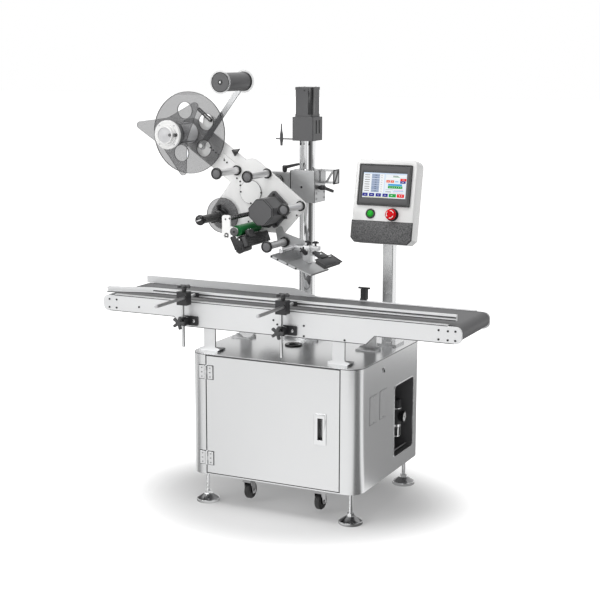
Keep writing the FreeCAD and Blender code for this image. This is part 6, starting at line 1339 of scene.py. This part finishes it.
def on_slot(u, v, w):
    return at(-421 + u * cos(TILT) + v * sin(TILT), 286.5 - w, 1399 - u * sin(TILT) + v * cos(TILT))


SLOT_OUT = round_rectangle((-7, 68), (-7, 7), 6.5)
SLOT_IN = round_rectangle((-3, 60), (-3.4, 3.4), 3)
done(framed(SLOT_OUT, SLOT_IN, 4, on_slot, 0.5), "barrel_slot", black_gloss, "head")
done(plate(SLOT_IN, 0.8, on_slot), "barrel_slot_back", white_plastic, "head")
tell("wedge and slot")

# %% [markdown]
# The nip block presses the web against the feed roller. It sits turned by 20 degrees, so its plates are
# drawn straight in its own axes and one function turns them.

# %% Nip block in its own axes
NIP = radians(20)


def nip(u, v, w):
    """u and v run along and across the block, w from the cheek's front towards the operator."""
    return at(-164.9 + u * cos(NIP) - v * sin(NIP), 109.8 - w, 947 + u * sin(NIP) + v * cos(NIP))


done(plate(rounded([(-26, 26, 5), (-8, 25, 5), (18, -6, 5), (13, -40, 11), (-13, -43, 11), (-22, -16, 6)]), 6, nip,
           rim=1.3), "nip_front", black_plastic, "head")
done(joined([plate(rounded([(-20, -25.4, 2), (15, -25.4, 2), (12, -38, 9), (-12, -40, 9)]), 58,
                   lambda u, v, w: nip(u, v, w - 58), rim=1.5),
             plate(rounded([(22, 5, 2), (41, 5, 2), (37, 31, 3), (23, 31, 3)]), 38,
                   lambda u, v, w: nip(u, v, w - 62), rim=1.5),
             plate(round_rectangle((18, 33), (-24, 12), 3), 5, nip, rim=1.2)]),
     "nip_blocks", dark_knob, "head")
done(turned([(0, 98.2), (14.4, 98.2), (15.6, 99), (15.6, 99.9), (0, 99.9)], -178, 983), "feed_roller_end",
     dark_enamel, "head")
done(copies(cap_screw(4, 1.6), [(at(-178, 98.2, 983), TO_FRONT)]), "feed_roller_bolt", black_screw, "head")
done(joined([hoop(3.4, 8.2, 102.2, 103.9, -158, 924, 0.6),
             turned([(0, 103.2), (3.6, 103.2), (3.6, 103.9), (0, 103.9)], -158, 924)]
            + [plate([(31.1, v), (31.9, v), (31.9, v + 3), (31.1, v + 3)], 150, lambda u, v, w: nip(u, v, w - 158))
               for v in (-20, -12, -4)]), "nip_hole", black_gloss, "head")
done(copies(cap_screw(2.7, 1.2), [(at(x, 103.8, z), TO_FRONT)
                                  for x, z in ((-169, 934), (-148, 935), (-169, 912), (-148, 914))]),
     "nip_dark_screws", black_screw, "head")
UP_LEFT = Matrix.Rotation(-NIP, 4, "Y")
done(copies(cap_screw(3.4, 3.4), [(nip(29, 31, -42), UP_LEFT), (nip(31, 31, -56), UP_LEFT),
                                  (nip(3, 16, 6), TO_FRONT), (nip(10, 6, 6), TO_FRONT)]), "nip_bright_screws",
     chrome, "head")
COILS = 21
springs = [hoop(6.1, 8.3, 110 + 8 * i, 113.6 + 8 * i, -212, 1026, 1.0) for i in range(COILS)]
springs += [hoop(4.2, 7.6, 98.4, 99.9, -208, 970, 0.5), hoop(1.2, 3.4, 98.6, 99.9, -195, 1029, 0.4),
            hoop(1.2, 3.0, 98.6, 99.9, -212, 1026, 0.4)]
done(joined(springs), "tie_rod_spring", black_gloss, "head")
tell("nip block")

# %% [markdown]
# At the peel plate the label leaves its backing. The fittings lie on its slope: lip screws, a round bar,
# a post with arms, and a brush in a clamp that presses the label down.

# %% Peel plate and its fittings, from the same slope as the CAD plate
SLOPE = math.atan2(-60, 158)


def on_peel(t, s):
    return (-49 + t * cos(SLOPE) - s * sin(SLOPE), 905 + t * sin(SLOPE) + s * cos(SLOPE))


def deep(y0):
    """u right, v up, w towards the back."""
    return lambda u, v, w: at(u, y0 + w, v)


done(copies(cap_screw(3.4, 1.8), [(at(x, 130, z), TO_FRONT)
                                  for x, z in ((-45, 900), (-21, 891), (17, 877), (50, 864))]),
     "peel_lip_screws", black_screw, "head")
done(joined([plate([on_peel(t, 0.05), on_peel(t + 1.4, 0.05), on_peel(t + 1.4, 0.5), on_peel(t, 0.5)], 140,
                   deep(132)) for t in (58, 64)]
            + [plate([on_peel(166, -4.2), on_peel(169.6, -4.2), on_peel(169.6, 0.5), on_peel(166, 0.5)], 146,
                     deep(131))]), "peel_lines", drum_grey, "head")
bar = turned([(0, 147), (7.6, 147), (9, 148.6), (9, 277.8), (0, 277.8)], -17, 919)
done(bar, "peel_bar", turned_steel, "head")
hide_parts("peel_fittings")
POST = [on_peel(80, 0.1) + (1,), on_peel(108, 0.1) + (1,), (53, 930, 4), (23, 930, 4)]
done(joined([plate(rounded(POST), 26, deep(236), rim=1.2),
             plate([(23, 899), (23, 911), (131, 897), (119, 888)], 18, deep(240), rim=1.0),
             plate([(23, 907), (23, 926), (-17, 926), (-17, 912)], 14, deep(242), rim=1.0),
             plate(round_rectangle((49, 86), (914, 929), 1), 18, deep(240), rim=1.0)]), "peel_post",
     side_aluminium, "head")
tell("peel plate")

# %% [markdown]
# The brush presses the label down as it leaves the lip. Its plate, its bristles and its clamp share one
# slope of their own.

# %% Brush, its plate and its clamp
BRUSH = math.atan2(-23, 43)


def on_brush(t, s):
    return (118 + t * cos(BRUSH) - s * sin(BRUSH), 896 + t * sin(BRUSH) + s * cos(BRUSH))


done(plate([on_brush(0, 0), on_brush(48.4, 0), on_brush(48.4, 4), on_brush(0, 4)], 135, deep(140), rim=0.6),
     "brush_plate", black_plastic, "head")
done(framed(rectangle((-0.8, 49.4), (-0.8, 135.8)), rectangle((2.2, 46.6), (2.0, 133)), 0.6,
            lambda u, v, w: at(*[on_brush(u, 4 + w)[0], 140 + v, on_brush(u, 4 + w)[1]])), "brush_border",
     black_gloss, "head")
done(plate([on_brush(4.001, -9), on_brush(46, -9), on_brush(46, -0.2), on_brush(4, -0.2)], 129, deep(143)),
     "brush_bristles", black_cover, "head")
done(joined([plate(rounded([on_brush(-26, -4) + (2,), on_brush(6, -4) + (2,), on_brush(6, 7.5) + (2,),
                            on_brush(-26, 7.5) + (2,)]), 52, deep(186), rim=1.2),
             plate([(62, 911), (62, 900), (96, 896), (96, 906)], 24, deep(237), rim=1.0),
             hoop(1, 8.4, 228, 236, 38, 905, 1.5)]), "brush_clamp", black_plastic, "head")
done(copies(cap_screw(5, 3), [(at(on_brush(-12, 7.5)[0], 205, on_brush(-12, 7.5)[1]),
                               Matrix.Rotation(-BRUSH, 4, "Y"))]), "brush_clamp_screw", chrome, "head")
tell("brush")

# %% [markdown]
# Three small knobs lock the brush and the bar. They are the large star at half its size on a shorter
# stem.

# %% Small star knobs
small = [(0.5 * u, 0.5 * v) for u, v in star]
small_star = joined([plate(small, 6.5, lambda u, v, w: Vector((u, v, 9 + w)) / 1000, rim=1.2),
                     stood([(0, 0), (3.6, 0), (3.6, 8), (6, 9), (6, 16.4), (4.6, 17), (0, 17)])])
done(copies(small_star, [(at(38, 249, 930), Matrix.Rotation(radians(14), 4, "Y")), (at(38, 221, 918), TO_FRONT),
                         (at(70, 249, 929.4), TO_TOP)]), "peel_knobs", black_plastic, "head")
tell("small knobs")

# %% [markdown]
# The lift raises the whole head. It gets a threaded screw, a clamp slit and a centre hole in the block,
# the bracket with its black frame at the side, and slots and screws on the motor.

# %% Lift block, screw, bracket and motor
done(joined([turned([(0, 379.2), (2.2, 379.2), (2.2, 379.9), (0, 379.9)], -50, 1122),
             hoop(2.2, 4.4, 379.0, 379.9, -50, 1122, 0.3), block((3.0, 379.2, 1067), (4.3, 381.6, 1182), 0.3),
             block((-96.4, 380.4, 1088), (-94.2, 384, 1181), 0.3), hoop(15.2, 17.2, 375.2, 375.9, -146, 1143, 0.2),
             hoop(8.2, 9.2, 375.2, 375.9, -146, 1143, 0.2), hoop(19.1, 20.4, 379, 383.9, -146, 1143, 0.5)]),
     "block_marks", black_gloss, "lift")
done(copies(cap_screw(4.4, 1.4), [(at(4, y, z), TO_RIGHT) for y in (396, 462) for z in (1080, 1100)]
            + [(at(x, y, 1183), TO_TOP) for x, y in ((-82, 392), (-8, 392), (-8, 462))]), "block_screws",
     screw_steel, "lift")
done(joined([block((57.6, 421.6, 1132.4), (61.6, 426, 1185.6), 0.8),
             block((57.6, 466, 1132.4), (61.6, 470.4, 1185.6), 0.8),
             block((57.6, 421.6, 1181.4), (61.6, 470.4, 1185.6), 0.8),
             block((57.6, 421.6, 1132.4), (61.6, 470.4, 1136.6), 0.8),
             plate([(426, 1137), (434, 1137), (466, 1181), (456, 1181)], 1.6, to_the_right(60.4))]),
     "bracket_frame", black_plastic, "lift")
done(block((59, 422.4, 1133), (60.6, 469.6, 1185), 0.3), "bracket_plate", block_aluminium, "lift")
SCREW_LOW = 578
THREADS = 140                # 5 mm apart
thread = [(0, SCREW_LOW)]
for i in range(THREADS):
    z = SCREW_LOW + 5 * i
    thread += [(6.05, z), (6.05, z + 2), (4.9, z + 3), (4.9, z + 4)]
lead = spun(thread + [(6.05, 1278), (0, 1278)], at(-83, 446, 0), "z", steps=20)
done(lead, "lift_screw_thread", turned_steel, "lift_screw", smooth=25)
MOTOR_TOP = 1482
done(joined([block((-31, 393.9, 1384), (-15.4, 394.9, 1480), 0.2),
             block((-14.9, 397, 1384), (-13.9, 417, 1480), 0.2)]
            + [turned([(0, 394), (2.6, 394), (2.6, 394.9), (0, 394.9)], -46, 1470)]), "lift_motor_slots",
     black_gloss, "machine")
done(copies(cap_screw(2.8, 1.2), [(at(x, y, MOTOR_TOP), TO_TOP) for x in (-73, -27) for y in (407, 453)]),
     "lift_motor_screws", screw_steel, "machine")
done(joined(twins(stood([(0, 0), (3.2, 0), (3.4, 0.6), (3.4, 7), (2, 7), (2, 16.5), (0, 16.5)], 24),
                  [(at(x, 399, 1273), TO_TOP) for x in (-62, -28)])), "lift_flange_screws", black_screw, "machine")
tell("lift")

# %% [markdown]
# The photograph was taken with a long lens from the front right, a little above the belt. The camera
# below was solved from the conveyor's and cabinet's corners.

# %% Camera
lens_data = bpy.data.cameras.new("camera")
camera = bpy.data.objects.new("camera", lens_data)
bpy.context.scene.collection.objects.link(camera)
bpy.context.scene.camera = camera
lens_data.lens = 81.9        # mm, on a sensor 36 mm wide
lens_data.sensor_width = 36.0
lens_data.clip_end = 60.0
camera.location = (2.1105, -4.2948, 1.6107)
camera.rotation_euler = (pi / 2 - 0.1805, -0.0022, 0.4508)
print("lens:", lens_data.lens, "mm, turned by", round(camera.rotation_euler.z, 2))

# %% [markdown]
# The machine stands on white paper, as for a catalogue picture. The paper glows towards its far edges
# and is dimmed close to the machine, which paints the soft shadow round the cabinet and the feet.

# %% Floor that glows like paper
pick_nothing()
bpy.ops.mesh.primitive_plane_add(size=80.0, location=(0, 0, 0))
floor = bpy.context.object
floor.name = "floor"
paper = bpy.data.materials.new("white paper")
paper.use_nodes = True
paper_shader = paper.node_tree.nodes["Principled BSDF"]
paper_shader.inputs["Roughness"].default_value = 0.95
paper_shader.inputs["Specular IOR Level"].default_value = 0.1
paper_shader.inputs["Emission Color"].default_value = (1, 1, 1, 1)
# The glow grows with the distance from the middle, a little faster in depth than in width; its dim middle is a
# painted shadow
paper_place = node(paper.node_tree, "ShaderNodeTexCoord")
paper_far = node(paper.node_tree, "ShaderNodeVectorMath", operation="LENGTH")
paper.node_tree.links.new(paper_place.outputs["Object"], paper_far.inputs[0])
paper_shape = node(paper.node_tree, "ShaderNodeVectorMath", operation="MULTIPLY")
paper.node_tree.links.new(paper_place.outputs["Object"], paper_shape.inputs[0])
paper_shape.inputs[1].default_value = (1.0, 1.12, 1.0)
paper_reach = node(paper.node_tree, "ShaderNodeVectorMath", operation="LENGTH")
paper.node_tree.links.new(paper_shape.outputs["Vector"], paper_reach.inputs[0])
# Dimmer near the machine: this is a painted shadow on the floor
paper_glow_painted_shadow = node(paper.node_tree, "ShaderNodeMapRange", interpolation_type="SMOOTHSTEP")
paper.node_tree.links.new(paper_reach.outputs["Value"], paper_glow_painted_shadow.inputs["Value"])
paper_glow_painted_shadow.inputs["From Min"].default_value = 0.36
paper_glow_painted_shadow.inputs["From Max"].default_value = 0.86
paper_glow_painted_shadow.inputs["To Min"].default_value = 0.16
paper_glow_painted_shadow.inputs["To Max"].default_value = 1.0

# %% [markdown]
# Chrome only looks like chrome when there is something dark to reflect. A ramp of grey levels round the
# machine is cheaper than real screens: a point's direction gives a share of a turn, and the ramp its grey.

# %% Grey levels by direction
def turn_share(tree, place):
    """Shares of a turn, clockwise from straight behind the machine: 0.25 right, 0.5 front, 0.75 left."""
    split = node(tree, "ShaderNodeSeparateXYZ")
    tree.links.new(place, split.inputs[0])
    angle = math_node(tree, "ARCTAN2", split.outputs["X"], split.outputs["Y"])
    return math_node(tree, "FRACT", math_node(tree, "MULTIPLY", angle, 1 / (2 * pi)), 0.0)


def bands(tree, share, levels):
    """A grey level for each share of a turn."""
    ramp = node(tree, "ShaderNodeValToRGB")
    tree.links.new(share, ramp.inputs["Fac"])
    stops = ramp.color_ramp.elements
    for place, level in levels[2:]:
        stops.new(place)
    for stop, (place, level) in zip(stops, levels):
        stop.position = place
        stop.color = grey(level) + (1,)
    return ramp.outputs["Color"]


# %% [markdown]
# The same floor answers three kinds of light: the camera sees white paper with a painted shadow near the machine,
# the fill sees the same glow more weakly, and glossy reflections see dark and light bands, which draw the edges of
# steel and chrome.

# %% What reflections see of the paper
# Reflections see the paper banded by direction: one pattern near the cabinet, another further out that
# only the column, the rollers and the head reflect
NEAR = ((0.0, 0.45), (0.05, 0.30), (0.165, 0.30), (0.185, 1.1), (0.235, 1.1), (0.258, 0.10), (0.335, 0.12),
        (0.365, 0.98), (0.42, 1.05), (0.55, 1.02), (0.62, 0.85), (0.66, 0.30), (0.70, 0.25), (0.74, 0.9),
        (0.86, 0.8), (0.90, 0.3), (0.94, 0.5))
FAR = ((0.0, 0.8), (0.05, 1.15), (0.08, 1.15), (0.19, 1.05), (0.225, 0.50), (0.28, 0.22), (0.31, 0.085),
       (0.445, 0.085), (0.47, 0.50), (0.52, 0.72), (0.62, 1.0), (0.72, 1.0), (0.75, 0.25), (0.79, 0.2), (0.81, 0.9),
       (0.88, 0.8), (0.93, 0.1))
paper_tree = paper.node_tree
paper_share = turn_share(paper_tree, paper_place.outputs["Object"])
far_or_near = node(paper_tree, "ShaderNodeMapRange")
paper_tree.links.new(paper_far.outputs["Value"], far_or_near.inputs["Value"])
far_or_near.inputs["From Min"].default_value = 2.6
far_or_near.inputs["From Max"].default_value = 3.4
banded = node(paper_tree, "ShaderNodeMix", data_type="RGBA")
paper_tree.links.new(far_or_near.outputs["Result"], banded.inputs["Factor"])
paper_tree.links.new(bands(paper_tree, paper_share, NEAR), banded.inputs["A"])
paper_tree.links.new(bands(paper_tree, paper_share, FAR), banded.inputs["B"])
paper_rays = node(paper_tree, "ShaderNodeLightPath")
# The fill gets the glow with its painted shadow, at a lower strength
for_fill = math_node(paper_tree, "MULTIPLY", paper_glow_painted_shadow.outputs["Result"], 0.62)
fill_or_bands = node(paper_tree, "ShaderNodeMix", data_type="FLOAT")
paper_tree.links.new(paper_rays.outputs["Is Glossy Ray"], fill_or_bands.inputs["Factor"])
paper_tree.links.new(for_fill, fill_or_bands.inputs["A"])
paper_tree.links.new(banded.outputs["Result"], fill_or_bands.inputs["B"])
as_seen = node(paper_tree, "ShaderNodeMix", data_type="FLOAT")
paper_tree.links.new(paper_rays.outputs["Is Camera Ray"], as_seen.inputs["Factor"])
paper_tree.links.new(fill_or_bands.outputs["Result"], as_seen.inputs["A"])
paper_tree.links.new(paper_glow_painted_shadow.outputs["Result"], as_seen.inputs["B"])
paper_tree.links.new(as_seen.outputs["Result"], paper_shader.inputs["Emission Strength"])
paper_tint = node(paper_tree, "ShaderNodeMix", data_type="RGBA")
paper_tree.links.new(paper_rays.outputs["Is Glossy Ray"], paper_tint.inputs["Factor"])
paper_tint.inputs["A"].default_value = (0.62, 0.62, 0.62, 1)
paper_tint.inputs["B"].default_value = (0.02, 0.02, 0.02, 1)
paper_tree.links.new(paper_tint.outputs["Result"], paper_shader.inputs["Base Color"])
floor.data.materials.append(paper)
print("bands on the paper:", len(NEAR), "near and", len(FAR), "far")

# %% [markdown]
# The sky is built the same way: white for the camera, weak and even for the fill, and banded for
# reflections.

# %% Sky
world = bpy.data.worlds.new("studio")
bpy.context.scene.world = world
world.use_nodes = True
sky = world.node_tree
for old in list(sky.nodes):
    sky.nodes.remove(old)
sky_out = node(sky, "ShaderNodeOutputWorld")
sky_place = node(sky, "ShaderNodeTexCoord")
AROUND = ((0.0, 1.0), (0.05, 0.9), (0.10, 0.75), (0.13, 0.08), (0.19, 0.10), (0.22, 0.42), (0.30, 0.22),
          (0.34, 0.03), (0.435, 0.04), (0.455, 0.6), (0.52, 0.8), (0.60, 0.9), (0.63, 0.10), (0.66, 0.08),
          (0.69, 0.95), (0.80, 1.0), (0.83, 0.20), (0.86, 0.18), (0.90, 1.0))
around = bands(sky, turn_share(sky, sky_place.outputs["Generated"]), AROUND)
seen = node(sky, "ShaderNodeBackground")
seen.inputs["Strength"].default_value = 1.0
seen.inputs["Color"].default_value = (1, 1, 1, 1)
mirrored = node(sky, "ShaderNodeBackground")
mirrored.inputs["Strength"].default_value = 0.9
sky.links.new(around, mirrored.inputs["Color"])
filling = node(sky, "ShaderNodeBackground")
filling.inputs["Strength"].default_value = 0.38
filling.inputs["Color"].default_value = (1, 1, 1, 1)
rays = node(sky, "ShaderNodeLightPath")
glossy_or_fill = node(sky, "ShaderNodeMixShader")
sky.links.new(rays.outputs["Is Glossy Ray"], glossy_or_fill.inputs["Fac"])
sky.links.new(filling.outputs[0], glossy_or_fill.inputs[1])
sky.links.new(mirrored.outputs[0], glossy_or_fill.inputs[2])
camera_or_rest = node(sky, "ShaderNodeMixShader")
sky.links.new(rays.outputs["Is Camera Ray"], camera_or_rest.inputs["Fac"])
sky.links.new(glossy_or_fill.outputs[0], camera_or_rest.inputs[1])
sky.links.new(seen.outputs[0], camera_or_rest.inputs[2])
sky.links.new(camera_or_rest.outputs[0], sky_out.inputs["Surface"])
print("bands in the sky:", len(AROUND))

# %% [markdown]
# Three soft boxes light the machine: a wide one overhead for the even top light, one at the left for the
# door's sheen, and a weak one in front that opens the shadows.

# %% Soft boxes
def soft_box(name, place, aim, size, power):
    lamp = bpy.data.lights.new(name, "AREA")
    lamp.shape = "RECTANGLE"
    lamp.size, lamp.size_y = size
    lamp.energy = power
    holder = bpy.data.objects.new(name, lamp)
    bpy.context.scene.collection.objects.link(holder)
    holder.location = place
    holder.rotation_euler = (Vector(aim) - Vector(place)).to_track_quat("-Z", "Y").to_euler()
    return holder


soft_box("top box", (-0.3, -0.8, 4.4), (0, 0.1, 0.6), (3.4, 2.8), 110)
soft_box("left box", (-3.0, -4.2, 2.6), (0, 0, 0.8), (2.4, 2.6), 70)
soft_box("front box", (1.2, -5.2, 1.5), (0, 0, 0.9), (3.0, 2.6), 16)
bpy.context.scene.view_settings.view_transform = "Standard"
bpy.context.scene.view_settings.look = "None"
tell("soft boxes")
